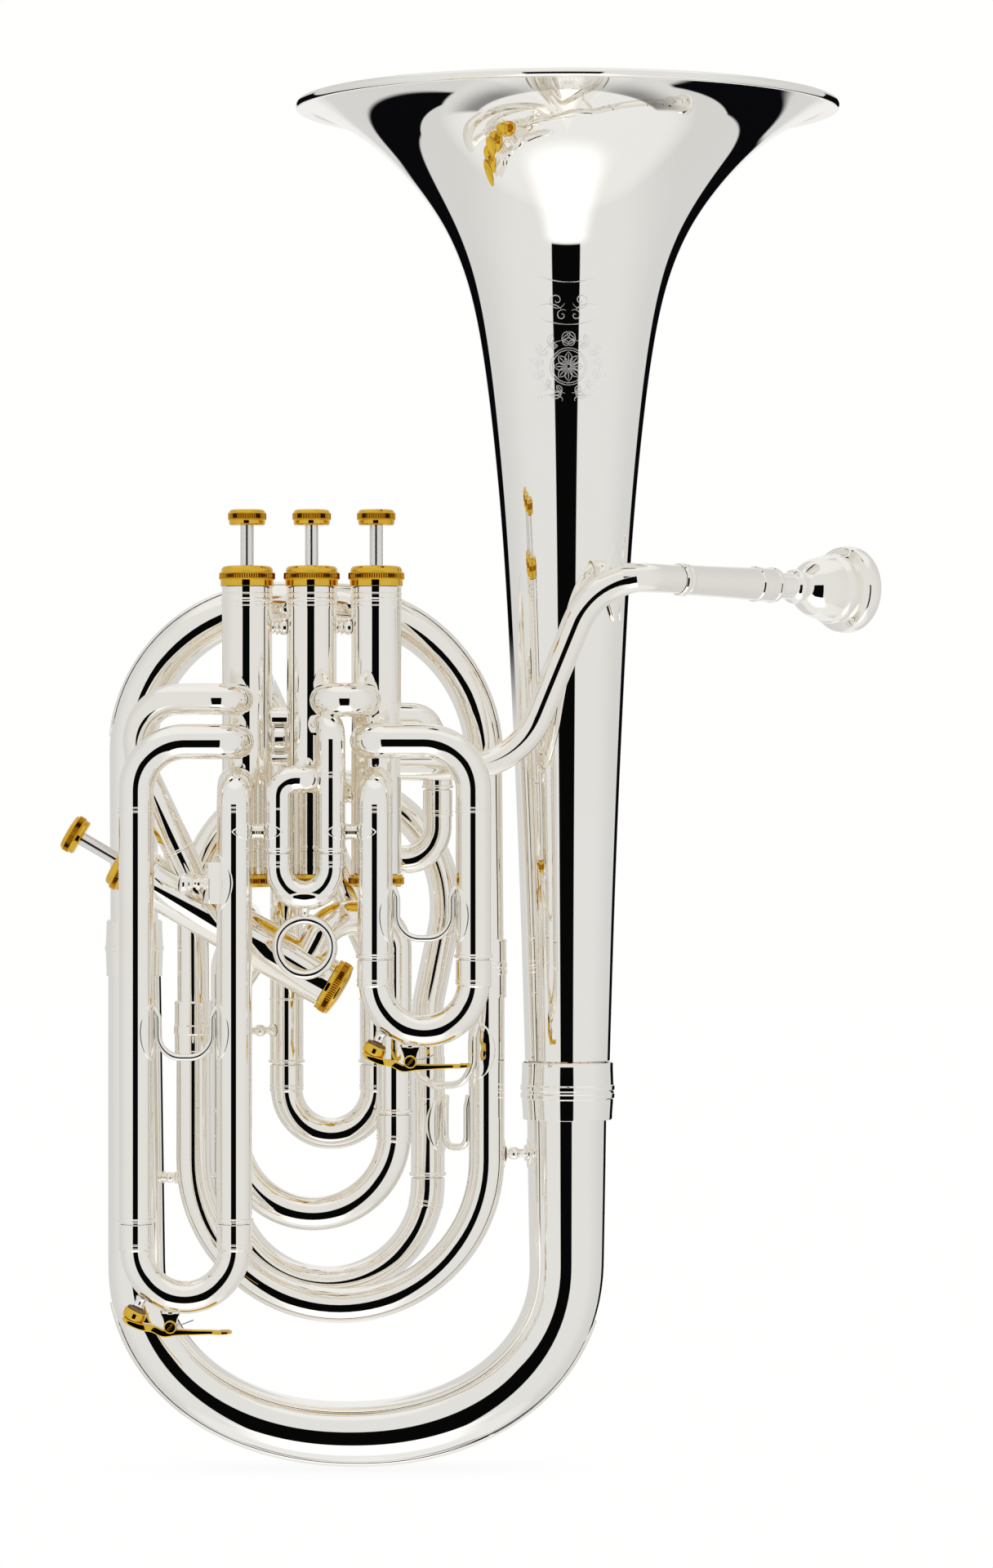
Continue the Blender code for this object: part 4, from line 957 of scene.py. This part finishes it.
# wire pulls between the legs of the first and third slides, on oval feet
def wire_pull(tag, xs, z_top, z_low, flange_z, half):
    left, right = xs[0] + LEG_R + 2.1, xs[1] - LEG_R - 2.1
    path = Path([(left - 2.2, SLIDE_Y - 0.5, z_top + 4.2), (left, SLIDE_Y - 1.0, z_top - 2), (left, SLIDE_Y - 1.0, z_low),
                 (right, SLIDE_Y - 1.0, z_low), (right, SLIDE_Y - 1.0, z_top - 2),
                 (right + 2.2, SLIDE_Y - 0.5, z_top + 4.2)], [6, 11.5, 11.5, 6])
    sweep("wire_pull_" + tag, path, 1.75, "horn", wall=None, sides=24, degrees=7, dome=True)
    flange("wire_foot_%s_left" % tag, (xs[0], SLIDE_Y, flange_z), UP, (1, -0.35, 0), LEG_R, half, 9.0, "horn",
           thick=0.55)
    flange("wire_foot_%s_right" % tag, (xs[1], SLIDE_Y, flange_z), UP, (-1, -0.35, 0), LEG_R, half, 9.0, "horn",
           thick=0.55)


wire_pull("1", S1_X, 297.0, 274.6, 286.0, 14.2)
wire_pull("3", S3_X, 236.8, 215.4, 228.2, 14.4)

# pull ring and its saddle under the second slide
RING_Z = 270.4
verts, faces = [], []
nu, nv = 72, 24
for i in range(nu):
    a = 2 * math.pi * i / nu
    for j in range(nv):
        b = 2 * math.pi * j / nv
        rr = 13.8 + 2.5 * math.cos(b)
        verts.append(Vector((-131.9 + rr * math.cos(a), SLIDE_Y + 2.5 * math.sin(b), RING_Z + rr * math.sin(a))))
for i in range(nu):
    for j in range(nv):
        faces.append((i * nv + j, ((i + 1) % nu) * nv + j, ((i + 1) % nu) * nv + (j + 1) % nv, i * nv + (j + 1) % nv))
finish_mesh("second_slide_ring", verts, faces, "slide_2", SILVER, ("slide_2_ring",))
verts, faces, spokes = [], [], 72
BOW_R, BOW_TUBE = 0.5 * abs(S2_X[1] - S2_X[0]), 7.05


def saddle_point(rho, th, rad):
    c, s = math.cos(th), math.sin(th)
    u = math.radians(47) * rho * math.copysign(abs(c) ** 1.15, c)
    v = math.radians(104) * rho * math.copysign(abs(s) ** 1.15, s)
    out = Vector((math.sin(u), 0, -math.cos(u)))
    return Vector((-131.9, SLIDE_Y, 309.6)) + out * BOW_R + (out * math.cos(v) - Vector((0, math.sin(v), 0))) * rad


saddle = [(0.01, 0.85), (0.2, 0.85), (0.4, 0.85), (0.6, 0.85), (0.8, 0.85), (0.9, 0.83), (0.95, 0.7), (0.985, 0.4),
          (1.0, 0.0), (1.0, -0.4), (0.8, -0.4), (0.6, -0.4), (0.4, -0.4), (0.2, -0.4), (0.01, -0.4)]
for rho, lift in saddle:
    verts += [saddle_point(rho, 2 * math.pi * j / spokes, BOW_TUBE + lift) for j in range(spokes)]
for i in range(len(saddle) - 1):
    for j in range(spokes):
        k = (j + 1) % spokes
        faces.append((i * spokes + j, (i + 1) * spokes + j, (i + 1) * spokes + k, i * spokes + k))
faces.append(tuple(range(spokes)))
faces.append(tuple(range((len(saddle) - 1) * spokes, len(saddle) * spokes)))
finish_mesh("second_slide_saddle", verts, faces, "slide_2", SILVER)
lathe("second_slide_ring_neck", [(0, 0), (2.7, 0), (2.2, 1.0), (1.9, 2.4), (2.3, 3.6), (3.0, 4.4), (0, 4.4)],
      (-131.9, SLIDE_Y, 284.8), UP, "slide_2", segs=40, closed=False)

# ---------------------------------------------------------------- stays
for tag, x in (("12", -113.25), ("23", -145.75)):
    a, b = (x - 3.5, -60, 430.6), (x + 3.5, -60, 430.6)
    ball_stay("casing_stay_" + tag, a, b, rod=2.8, balls=((0.12, 4.3), (0.88, 4.3)), foot=3.6,
              nodes=("casing_brace_" + tag,))
    a, b = (x - 3.5, -60, 345.0), (x + 3.5, -60, 345.0)
    ball_stay("casing_low_stay_" + tag, a, b, rod=2.4, balls=((0.5, 3.4),), foot=3.4)


def ribbed_post(name, xa, xb, z, node, ra, rb):
    prof = [(0, 0), (4.4, 0), (4.4, 0.5)]
    span = xb - xa
    n = 4
    for k in range(n):
        c = 0.6 + (span - 1.2) * (k + 0.5) / n
        w = (span - 1.2) / n / 2
        prof += [(3.35, c - w), (3.9, c - w * 0.55), (3.95, c), (3.9, c + w * 0.55), (3.35, c + w - 0.02)]
    prof += [(4.4, span - 0.5), (4.4, span), (0, span)]
    lathe(name, prof, (xa, SLIDE_Y, z), (1, 0, 0), "horn", segs=56, nodes=(node,), closed=False)


ribbed_post("slide_post_12_turned", -111.55, -106.0, 327.8, "slide_post_12", 7.05, LEG_R)
ribbed_post("slide_post_23_turned", -158.0, -152.25, 327.8, "slide_post_23", LEG_R, 7.05)
for tag, x, out, r in (("a", S3_X[1], (1, -0.75, 0), LEG_R), ("b", S2_X[0], (-1, -0.75, 0), 7.05),
                       ("c", S2_X[1], (1, -0.75, 0), 7.05), ("d", S1_X[0], (-1, -0.75, 0), LEG_R)):
    flange("post_foot_" + tag, (x, SLIDE_Y, 327.8), UP, out, r, 4.5, 9.2, "horn", power=1.35, thick=0.5)

ball_stay("bell_stay", (-32.4, -7.0, 162), (-21.0, -3.2, 162), rod=2.2, balls=((0.42, 3.4),), foot=4.2,
          nodes=("bell_strut",))
flange("bell_stay_foot_left", (-41.6, -8, 162), UP, (1, 0.3, 0), 9.1, 8.0, 5.6, "horn", power=1.4, thick=0.5)
flange("bell_stay_foot_right", (-0.4, 0, 162), UP, (-1, -0.15, 0), 20.1, 8.0, 6.4, "horn", power=1.4, thick=0.6)
ball_stay("branch_stay", (-207.6, -2.0, 149.5), (-200.6, -5.0, 149.5), rod=1.8, balls=((0.5, 2.9),), foot=3.2,
          nodes=("branch_strut",))
ball_stay("valve_4_stay", (-184.9, -72.9, 303), (-176.3, -85.9, 303), rod=1.9, balls=((0.5, 3.0),), foot=3.6,
          nodes=("valve_4_strut",))
ball_stay("leadpipe_bell_stay", (31.6, -39.6, 455.5), (23.4, -25.2, 455.5), rod=2.3, balls=((0.5, 3.3),), foot=4.0,
          nodes=("leadpipe_stay",))
flange("leadpipe_bell_foot", (0, 0, 455.5), UP, (0.72, -0.69, 0), 32.4, 21.0, 7.0, "horn", power=1.35, thick=1.0,
       sink=1.2)


ball_stay("comp_leg_stay", (-162.7, -39.5, 226.3), (-150.4, -30.3, 226.3), rod=1.8, balls=((0.5, 3.2),), foot=3.3)

# lyre holder on the third slide's inner leg: oval foot, block and thumb screw
flange("lyre_foot", (S3_X[1], SLIDE_Y, 302.3), UP, (-1, -0.4, 0), LEG_R, 14.4, 10.2, "horn", power=1.8, thick=0.55)
turned = math.radians(20)
face, deep = Vector((math.cos(turned), math.sin(turned), 0)), Vector((-math.sin(turned), math.cos(turned), 0))
loft("lyre_block", [((-178.0, -92.6, z), face * w, deep * d) for z, w, d in
                    ((292.0, 3.0, 4.3), (292.5, 3.45, 4.7), (302.3, 3.5, 4.75), (312.1, 3.45, 4.7), (312.6, 3.0, 4.3))],
     "horn", SILVER, corner=0.8, per=5)
screw = [(0, -0.6), (3.1, -0.6), (3.5, 0.4), (3.1, 1.2), (2.1, 1.6), (2.1, 2.3), (3.1, 2.6), (3.7, 3.5), (3.4, 4.4),
         (2.3, 5.0), (2.1, 5.7), (2.6, 6.2), (3.4, 6.9), (4.0, 7.8), (4.2, 8.5), (3.9, 9.0), (4.7, 9.4), (5.15, 10.0),
         (5.15, 12.2), (4.7, 12.9), (3.0, 13.1), (0, 13.1)]
lathe("lyre_screw", screw, (-181.4, -93.4, 302.3), (-0.97, -0.24, 0), "horn", segs=64, closed=False)

# bent wire brace from the second bow's right branch round to the tuning leg, on an oval foot
flange("hand_wire_foot", (-41.6, -8, 215.4), UP, (-0.5, -0.85, 0), 9.15, 14.7, 9.6, "horn", power=1.8, thick=0.55)
sweep("hand_wire", Path([(-46.6, -16.2, 229.0), (-48.6, -17.4, 222.0), (-48.6, -17.6, 208.5), (-54.0, -14.5, 198.0),
                         (-68.0, -5.5, 196.4), (-77.0, 0.5, 201.0), (-78.4, 5.0, 209.5)], [9, 12, 10, 9, 6]), 1.9, "horn",
      wall=None, sides=28, degrees=7)
flange("hook_wire_foot", (TUNE_X[1], TUNE_Y, 176.2), UP, (0.9, -0.5, 0), LEG_R, 15.4, 10.4, "horn", power=1.8, thick=0.55)
sweep("hook_wire", Path([(-62.6, 8.2, 190.4), (-62.9, 5.0, 186.0), (-62.9, 3.0, 164.9), (-51.6, -6.0, 164.9),
                         (-51.6, -8.0, 186.0), (-50.4, -8.6, 192.0)], [4, 6.0, 6.0, 4]), 1.9, "horn", wall=None,
      sides=28, degrees=7)

# ---------------------------------------------------------------- water keys
def water_key(tag, body, node, pivot, cup, tip, crook_xy):
    p, c, t = Vector(pivot), Vector(cup), Vector(tip)
    y = Vector((0, 1, 0))
    # lever: thick under the cup, dipping below the pin, then a long thin thumb arm
    marks = [(c + Vector((-5.6, 0, -1.2)), 3.6, 0.6), (c + Vector((-4.4, 0, -2.6)), 4.4, 1.1),
             (c + Vector((-0.4, 0, -4.7)), 4.8, 1.5), (c + Vector((4.2, 0, -6.2)), 4.6, 1.7),
             (p + (c - p) * 0.46 + Vector((0, 0, -4.0)), 3.6, 1.75), (p + Vector((-3.6, 0, -3.4)), 3.2, 1.8),
             (p + Vector((0.6, 0, -3.0)), 3.1, 1.8), (p + Vector((4.4, 0, -2.8)), 3.0, 1.6),
             (p + (t - p) * 0.40 + Vector((0, 0, -1.9)), 2.7, 1.3), (p + (t - p) * 0.68 + Vector((0, 0, -1.1)), 3.2, 1.1),
             (t + Vector((-4.2, 0, -0.4)), 4.2, 1.05), (t + Vector((-0.8, 0, -0.2)), 4.2, 0.85),
             (t + Vector((0.5, 0, -0.2)), 3.4, 0.4)]
    pts = [m[0] for m in marks]
    acc = [0.0]
    for a, b in zip(pts, pts[1:]):
        acc.append(acc[-1] + (b - a).length)
    fx = cubic([(s, q.x) for s, q in zip(acc, pts)])
    fz = cubic([(s, q.z) for s, q in zip(acc, pts)])
    fw = lambda s: gentle([(a, m[1]) for a, m in zip(acc, marks)], s)
    fh = lambda s: gentle([(a, m[2]) for a, m in zip(acc, marks)], s)
    sections = []
    n = 44
    for k in range(n + 1):
        s = acc[-1] * k / n
        d = Vector((fx(min(s + 0.3, acc[-1])) - fx(max(s - 0.3, 0)), 0, fz(min(s + 0.3, acc[-1])) - fz(max(s - 0.3, 0))))
        d.normalize()
        sections.append((Vector((fx(s), p.y, fz(s))), y * fw(s), Vector((-d.z, 0, d.x)) * fh(s)))
    loft("water_key_%s_lever_gold" % tag, sections, body, GOLD, corner=0.6, nodes=(node,))
    tiltv = Vector((0.46, 0, 1)).normalized()
    lathe("water_key_%s_cup" % tag, rounded([(0, -3.0), (4.8, -3.0), (5.7, -1.9), (5.9, 0.6), (5.6, 2.0),
                                                     (0, 2.0)], 0.5,
                                            closed=False), c, tiltv, body, GOLD, segs=64, closed=False)
    lathe("water_key_%s_cork" % tag, rounded([(0, 2.0), (4.9, 2.0), (4.9, 2.5), (4.6, 3.2), (3.9, 3.5), (0, 3.6)], 0.3,
                                             closed=False), c, tiltv, body, CORK, segs=56, closed=False)
    # hinge barrel and slotted pin head
    lathe("water_key_%s_hinge" % tag, rounded([(0, -3.1), (2.5, -3.1), (2.5, 3.1), (0, 3.1)], 0.3, closed=False), p, y,
          body, GOLD, segs=48, closed=False)
    for k, d in enumerate((-1, 1)):
        head = rounded([(0, 0.0), (3.2, 0.0), (3.2, 0.9), (2.7, 1.35), (0, 1.5)], 0.3, closed=False)
        lathe("water_key_%s_pin_head_%d" % (tag, k + 1), head, p + y * (d * 4.7), y * d, "slide_" + tag, GOLD, segs=48,
              closed=False)
    # painted shade: the pin's slot is a thin strip of the darker crest gold on the head
    loft("water_key_%s_pin_slot" % tag, [(p + Vector((-1.5, -6.18, -1.9)), Vector((0.35, 0, -0.25)), Vector((0, 0.15, 0))),
                                         (p + Vector((1.5, -6.18, 1.9)), Vector((0.35, 0, -0.25)), Vector((0, 0.15, 0)))],
         "slide_" + tag, GOLD_CREST, corner=0.1, per=2)
    # ribbed thumb pad
    for k in range(4):
        q = t + Vector((-4.6 + 1.15 * k, 0, 0.55))
        loft("water_key_%s_pad_rib_%d" % (tag, k + 1), [(q + Vector((0, -3.6, 0)), Vector((0.42, 0, 0)), Vector((0, 0, 0.42))),
                                                       (q + Vector((0, 3.6, 0)), Vector((0.42, 0, 0)), Vector((0, 0, 0.42)))],
             body, GOLD, corner=0.25, per=3)
    # bracket: base on the crook, two tapering cheeks outside the hinge
    slide = "slide_" + tag
    top = crook_xy
    for k, d in enumerate((-1, 1)):
        yy = p.y + d * 4.1
        loft("water_key_%s_cheek_%d" % (tag, k + 1),
             [((p.x, yy, p.z - 1.6), Vector((1.8, 0, 0)), Vector((0, 0.5, 0))),
              ((p.x, yy, p.z - 0.2), Vector((2.6, 0, 0)), Vector((0, 0.5, 0))),
              ((p.x, yy, p.z + 4.2), Vector((3.7, 0, 0)), Vector((0, 0.5, 0))),
              ((p.x, yy, top + 1.0), Vector((4.9, 0, 0)), Vector((0, 0.5, 0)))], slide, SILVER, corner=0.3)
    sections = []
    for k in range(9):
        u = k / 4 - 1
        sections.append(((p.x + 5.2 * u, p.y, top + 1.4 + 0.35 * u * u), y * (4.9 * math.sqrt(max(0.15, 1 - u * u * 0.8))),
                         Vector((0, 0, 0.75))))
    loft("water_key_%s_base" % tag, sections, slide, SILVER, corner=0.4)
    # drain nipple on the crook over the cork
    nip = c + tiltv * 3.7
    lathe("water_key_%s_nipple" % tag, rounded([(1.6, 0.0), (2.6, 0.0), (2.9, 0.7), (2.5, 1.6), (2.5, 3.4), (3.2, 5.2),
                                                (1.6, 5.2)], 0.25), nip, tiltv, slide, SILVER, segs=40)
    # wire spring: a few turns on the pin and two legs
    pts = []
    for k in range(46):
        a = 2 * math.pi * k / 15 + 0.4
        pts.append(p + Vector((3.0 * math.cos(a), -3.0 + 0.42 * k / 15 * 2.2, 3.0 * math.sin(a))))
    legs = [p + Vector((11.5, -2.4, 3.3)), p + Vector((6.0, -2.6, 1.2)), pts[0]]
    sweep("water_key_%s_spring" % tag, Path(legs[:2] + pts), 0.34, slide, STEEL, wall=None, sides=10)


water_key("1", "water_key_1_lever", "water_key_1", (-79.4, SLIDE_Y, 213.4), (-97.2, SLIDE_Y, 219.4),
          (-49.4, SLIDE_Y, 211.6), 219.6)
water_key("3", "water_key_3_lever", "water_key_3", (-198.7, SLIDE_Y, 81.6), (-216.6, SLIDE_Y, 87.6),
          (-168.6, SLIDE_Y, 79.0), 87.2)

# ---------------------------------------------------------------- leadpipe, receiver, mouthpiece
yaw, dip = math.radians(MP_YAW), math.radians(MP_DIP)
MP_DIR = Vector((math.cos(yaw) * math.cos(dip), math.sin(yaw) * math.cos(dip), -math.sin(dip)))
RECV = Vector(RECEIVER_AT)
LEAD = Path([RECV, RECV - MP_DIR * 25.0, (13.0, -48.0, 455.0), (-25.9, -47.0, 359.7), (-97.0, -60, 359.7)],
            [24, 38, 42])
sweep("leadpipe_tube", LEAD, [(0, 7.3), (60, 7.6), (140, 6.9), (LEAD.length, 6.3)], "horn", wall=0.8, sides=48,
      nodes=("leadpipe",), trim1=TRIM[1], feats=(bead(LEAD.length - 38.0, 0.8, 0.45),))
lathe("receiver_sleeve",
      rounded([(8.2, 70.7), (8.9, 70.7), (9.2, 69.8), (9.2, 68.2), (8.75, 67.7), (8.75, 58.2), (9.2, 57.6), (9.2, 56.0),
               (8.5, 55.3), (8.0, 30.0), (7.75, 7.0), (8.2, 6.2), (8.4, 4.9), (8.05, 4.2), (8.05, 3.3), (8.4, 2.6),
               (8.3, 1.2), (7.6, 0.4), (6.6, 0.4), (6.6, 20), (7.15, 28), (7.15, 70.7)], 0.3), RECV, MP_DIR, "horn",
      segs=80, nodes=("receiver",))
MP = RECV + MP_DIR * 30.0
cup = [(6.3, 0), (6.75, 51.8), (6.9, 52.6), (7.6, 53.2), (8.7, 54.4), (9.1, 55.8), (8.9, 57.3), (8.2, 58.6), (7.9, 59.8),
       (8.3, 60.9), (9.9, 62.5), (12.1, 64.8), (13.9, 67.4), (15.3, 70.8), (16.3, 74.8), (17.0, 79.0), (17.2, 80.8),
       (17.9, 81.4), (18.3, 82.6), (18.35, 87.4), (18.0, 88.4), (18.15, 89.2), (19.3, 89.8), (21.2, 90.4), (22.1, 91.3),
       (22.55, 93.0), (22.8, 95.4), (22.75, 97.2), (22.2, 98.4), (21.2, 98.9), (19.0, 98.9), (16.9, 98.2),
       (15.2, 96.4), (14.0, 93.0), (13.0, 87.0), (12.0, 80.0), (10.2, 73.0), (6.8, 65.0), (4.0, 59.0), (3.6, 56.0),
       (4.8, 0)]
lathe("mouthpiece_cup", cup, MP, MP_DIR, "mouthpiece_piece", segs=96, nodes=("mouthpiece",), sharp=50)

# ---------------------------------------------------------------- engraving on the bell
def engrave(name, curves, width=0.24, proud=0.05):
    """Fine cut lines: flat ribbons following the bell's skin."""
    verts, faces = [], []
    for line in curves:
        pts = [Vector((a, z, 0)) for a, z in line]
        rows = []
        for i, q in enumerate(pts):
            d = (pts[min(i + 1, len(pts) - 1)] - pts[max(i - 1, 0)])
            if d.length < 1e-9:
                d = Vector((1, 0, 0))
            d.normalize()
            side = Vector((-d.y, d.x, 0))
            taper = width * (0.45 + 0.55 * math.sin(math.pi * (i + 0.5) / len(pts)))
            rows.append(len(verts))
            for off, rise in ((-taper, proud), (taper, proud), (taper, -0.25), (-taper, -0.25)):
                w = q + side * off
                r = bell_radius(w.y)
                ang = w.x / r
                rr = r + rise
                verts.append(Vector((rr * math.sin(ang), -rr * math.cos(ang), w.y)))
        for a, b in zip(rows, rows[1:]):
            faces += [(a + j, a + (j + 1) % 4, b + (j + 1) % 4, b + j) for j in range(4)]
        faces.append(tuple(rows[0] + j for j in (3, 2, 1, 0)))
        faces.append(tuple(rows[-1] + j for j in range(4)))
    return finish_mesh(name, verts, faces, "horn", ENGRAVED, sharp=30)


def arc_line(cx, cz, rx, rz, a0, a1, n=28):
    return [(cx + rx * math.cos(math.radians(a0 + (a1 - a0) * k / n)),
             cz + rz * math.sin(math.radians(a0 + (a1 - a0) * k / n))) for k in range(n + 1)]


def scroll(cx, cz, size, turns, a0, flip=1.0, n=44):
    out = []
    for k in range(n + 1):
        u = k / n
        r = size * (1 - 0.88 * u)
        a = math.radians(a0) + flip * 2 * math.pi * turns * u
        out.append((cx + r * math.cos(a), cz + r * math.sin(a)))
    return out


def leaf(cx, cz, size, a):
    a = math.radians(a)
    ax = (math.cos(a), math.sin(a))
    nx = (-ax[1], ax[0])
    loop = []
    for k in range(17):
        u = k / 16
        w = 0.28 * size * math.sin(math.pi * u) ** 0.9
        loop.append((u, w))
    one = [(cx + ax[0] * size * u + nx[0] * w, cz + ax[1] * size * u + nx[1] * w) for u, w in loop]
    two = [(cx + ax[0] * size * u - nx[0] * w, cz + ax[1] * size * u - nx[1] * w) for u, w in loop]
    rib = [(cx + ax[0] * size * u, cz + ax[1] * size * u) for u in (0.05, 0.3, 0.6, 0.85)]
    return [one, two, rib]


cuts = []
for f in (-1.0, 1.0):
    cuts.append([(f * x, z) for x, z in scroll(6.2, 596.0, 4.4, 1.4, 200)])
    cuts.append([(f * x, z) for x, z in scroll(3.4, 588.6, 3.0, 1.2, 130, -1.0)])
    cuts.append([(f * x, z) for x, z in arc_line(11.0, 590.5, 7.5, 3.8, 170, 20)])
    for k in range(7):
        a = -78 + 26 * k
        x, z = 17.0 * math.cos(math.radians(a)), 563.0 + 14.0 * math.sin(math.radians(a))
        for line in leaf(x, z, 5.6, a + 62):
            cuts.append([(f * q, w) for q, w in line])
        for line in leaf(x * 0.93, 563.0 + (z - 563.0) * 0.93, 4.2, a + 128):
            cuts.append([(f * q, w) for q, w in line])
    cuts.append([(f * x, z) for x, z in arc_line(0, 563.0, 16.2, 13.4, -84, 84)])
    cuts.append([(f * x, z) for x, z in arc_line(9.0, 546.4, 6.0, 2.4, 200, 20)])
    cuts.append([(f * x, z) for x, z in scroll(14.4, 547.6, 2.4, 1.1, 210)])
    cuts.append([(f * x, z) for x, z in arc_line(0.0, 636.0, 34.0, 31.0, -90, -63)])
    cuts.append([(f * x, z) for x, z in arc_line(0.0, 622.0, 36.0, 38.0, -90, -66)])
for k in range(8):
    a = 45 * k
    for line in leaf(0.8 * math.cos(math.radians(a)), 563.0 + 0.8 * math.sin(math.radians(a)), 6.6, a):
        cuts.append(line)
cuts.append(arc_line(0, 563.0, 8.2, 8.2, 0, 360, 48))
cuts.append(arc_line(0, 563.0, 9.3, 9.3, 0, 360, 48))
engrave("bell_engraving", cuts)

# ---------------------------------------------------------------- hidden CAD pieces keep their shape, with better finish
for n in ("spring_1", "spring_2", "spring_3", "spring_4"):
    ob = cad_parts[n]
    ob.data.materials.clear()
    ob.data.materials.append(STEEL)


# ---------------------------------------------------------------- studio
def studio():
    world = bpy.data.worlds.new("studio")
    bpy.context.scene.world = world
    world.use_nodes = True
    n = Nodes(world.node_tree)
    out = n.add('ShaderNodeOutputWorld')
    back = n.add('ShaderNodeBackground')
    xyz = n.add('ShaderNodeSeparateXYZ')
    n.wire(n.add('ShaderNodeTexCoord').outputs['Generated'], xyz.inputs[0])
    x, y, z = xyz.outputs
    az = n.math('MULTIPLY', n.math('ARCTAN2', x, n.math('MULTIPLY', y, -1.0)), 180 / math.pi)
    el = n.math('MULTIPLY', n.math('ARCSINE', z), 180 / math.pi)
    away = n.math('ABSOLUTE', n.math('ADD', az, 2.6))
    gap = n.step(away, 16.2, 17.6, 1.0, 0.0)
    gap = n.math('MULTIPLY', gap, n.step(el, -40.2, -39.0))
    gap = n.math('MULTIPLY', gap, n.step(el, 8.5, 10.0, 1.0, 0.0))
    turn = n.math('ABSOLUTE', az)
    level = n.step(turn, 55.0, 125.0, 0.79, 0.69)
    level = n.math('MAXIMUM', level, n.step(turn, 158.0, 170.0, 0.0, 0.90))
    level = n.math('MAXIMUM', level, n.step(el, 12.0, 60.0, 0.0, 0.90))
    level = n.math('MAXIMUM', level, n.step(el, -25.0, -60.0, 0.0, 0.86))
    glow = n.math('MULTIPLY', n.step(n.math('ABSOLUTE', n.math('ADD', x, 0.02)), 0.16, 0.40, 1.0, 0.0),
                  n.step(el, -37.5, -43.0))
    glow = n.math('MULTIPLY', glow, n.step(y, -0.02, -0.26))
    level = n.math('ADD', level, n.math('MULTIPLY', glow, 0.38))
    lit = n.math('MULTIPLY', level, n.math('SUBTRACT', 1.0, n.math('MULTIPLY', gap, 0.997)))
    seen = n.add('ShaderNodeLightPath').outputs['Is Camera Ray']
    lit = n.math('ADD', n.math('MULTIPLY', lit, n.math('SUBTRACT', 1.0, seen)), n.math('MULTIPLY', seen, 1.0))
    back.inputs['Color'].default_value = (1.0, 0.998, 0.992, 1.0)
    n.wire(lit, back.inputs['Strength'])
    n.wire(back.outputs[0], out.inputs['Surface'])


studio()


def floor():
    n_r = 72
    verts = [(0, 0, 0)] + [(6.0 * math.cos(2 * math.pi * k / n_r), 6.0 * math.sin(2 * math.pi * k / n_r), 0)
                           for k in range(n_r)]
    mesh = bpy.data.meshes.new("floor")
    mesh.from_pydata([(x + 0.0, y, z - 0.0002) for x, y, z in verts], [],
                     [(0, 1 + k, 1 + (k + 1) % n_r) for k in range(n_r)])
    obj = bpy.data.objects.new("floor", mesh)
    bpy.context.scene.collection.objects.link(obj)
    mat = bpy.data.materials.new("pale_floor")
    mat.use_nodes = True
    n = Nodes(mat.node_tree)
    out = n.add('ShaderNodeOutputMaterial')
    em = n.add('ShaderNodeEmission')
    ao = n.add('ShaderNodeAmbientOcclusion', samples=8)
    ao.inputs['Distance'].default_value = 0.06
    # painted contact shadow: the glowing floor is darkened by ambient occlusion near the horn
    n.wire(n.mix(n.step(ao.outputs['AO'], 0.2, 1.0), colour(0.95, 0.95, 0.95), colour(1.0, 0.999, 0.996)),
           em.inputs['Color'])
    n.wire(em.outputs[0], out.inputs['Surface'])
    mesh.materials.append(mat)
    obj.visible_glossy = False
    obj.visible_shadow = False


floor()

cam_data = bpy.data.cameras.new("camera")
cam = bpy.data.objects.new("camera", cam_data)
bpy.context.scene.collection.objects.link(cam)
cam.location = (0.00961, -2.8, 0.35176)
cam.rotation_euler = (math.radians(90), 0, 0)
cam_data.sensor_fit = 'VERTICAL'
cam_data.sensor_height = 36.0
cam_data.lens = 125.0
cam_data.clip_end = 50
bpy.context.scene.camera = cam
bpy.context.scene.view_settings.view_transform = 'Standard'
bpy.context.scene.view_settings.look = 'None'

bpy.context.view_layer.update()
# polished tubes mirror one another many times over
paths = bpy.context.scene.cycles
paths.max_bounces = max(paths.max_bounces, 20)
paths.glossy_bounces = max(paths.glossy_bounces, 20)
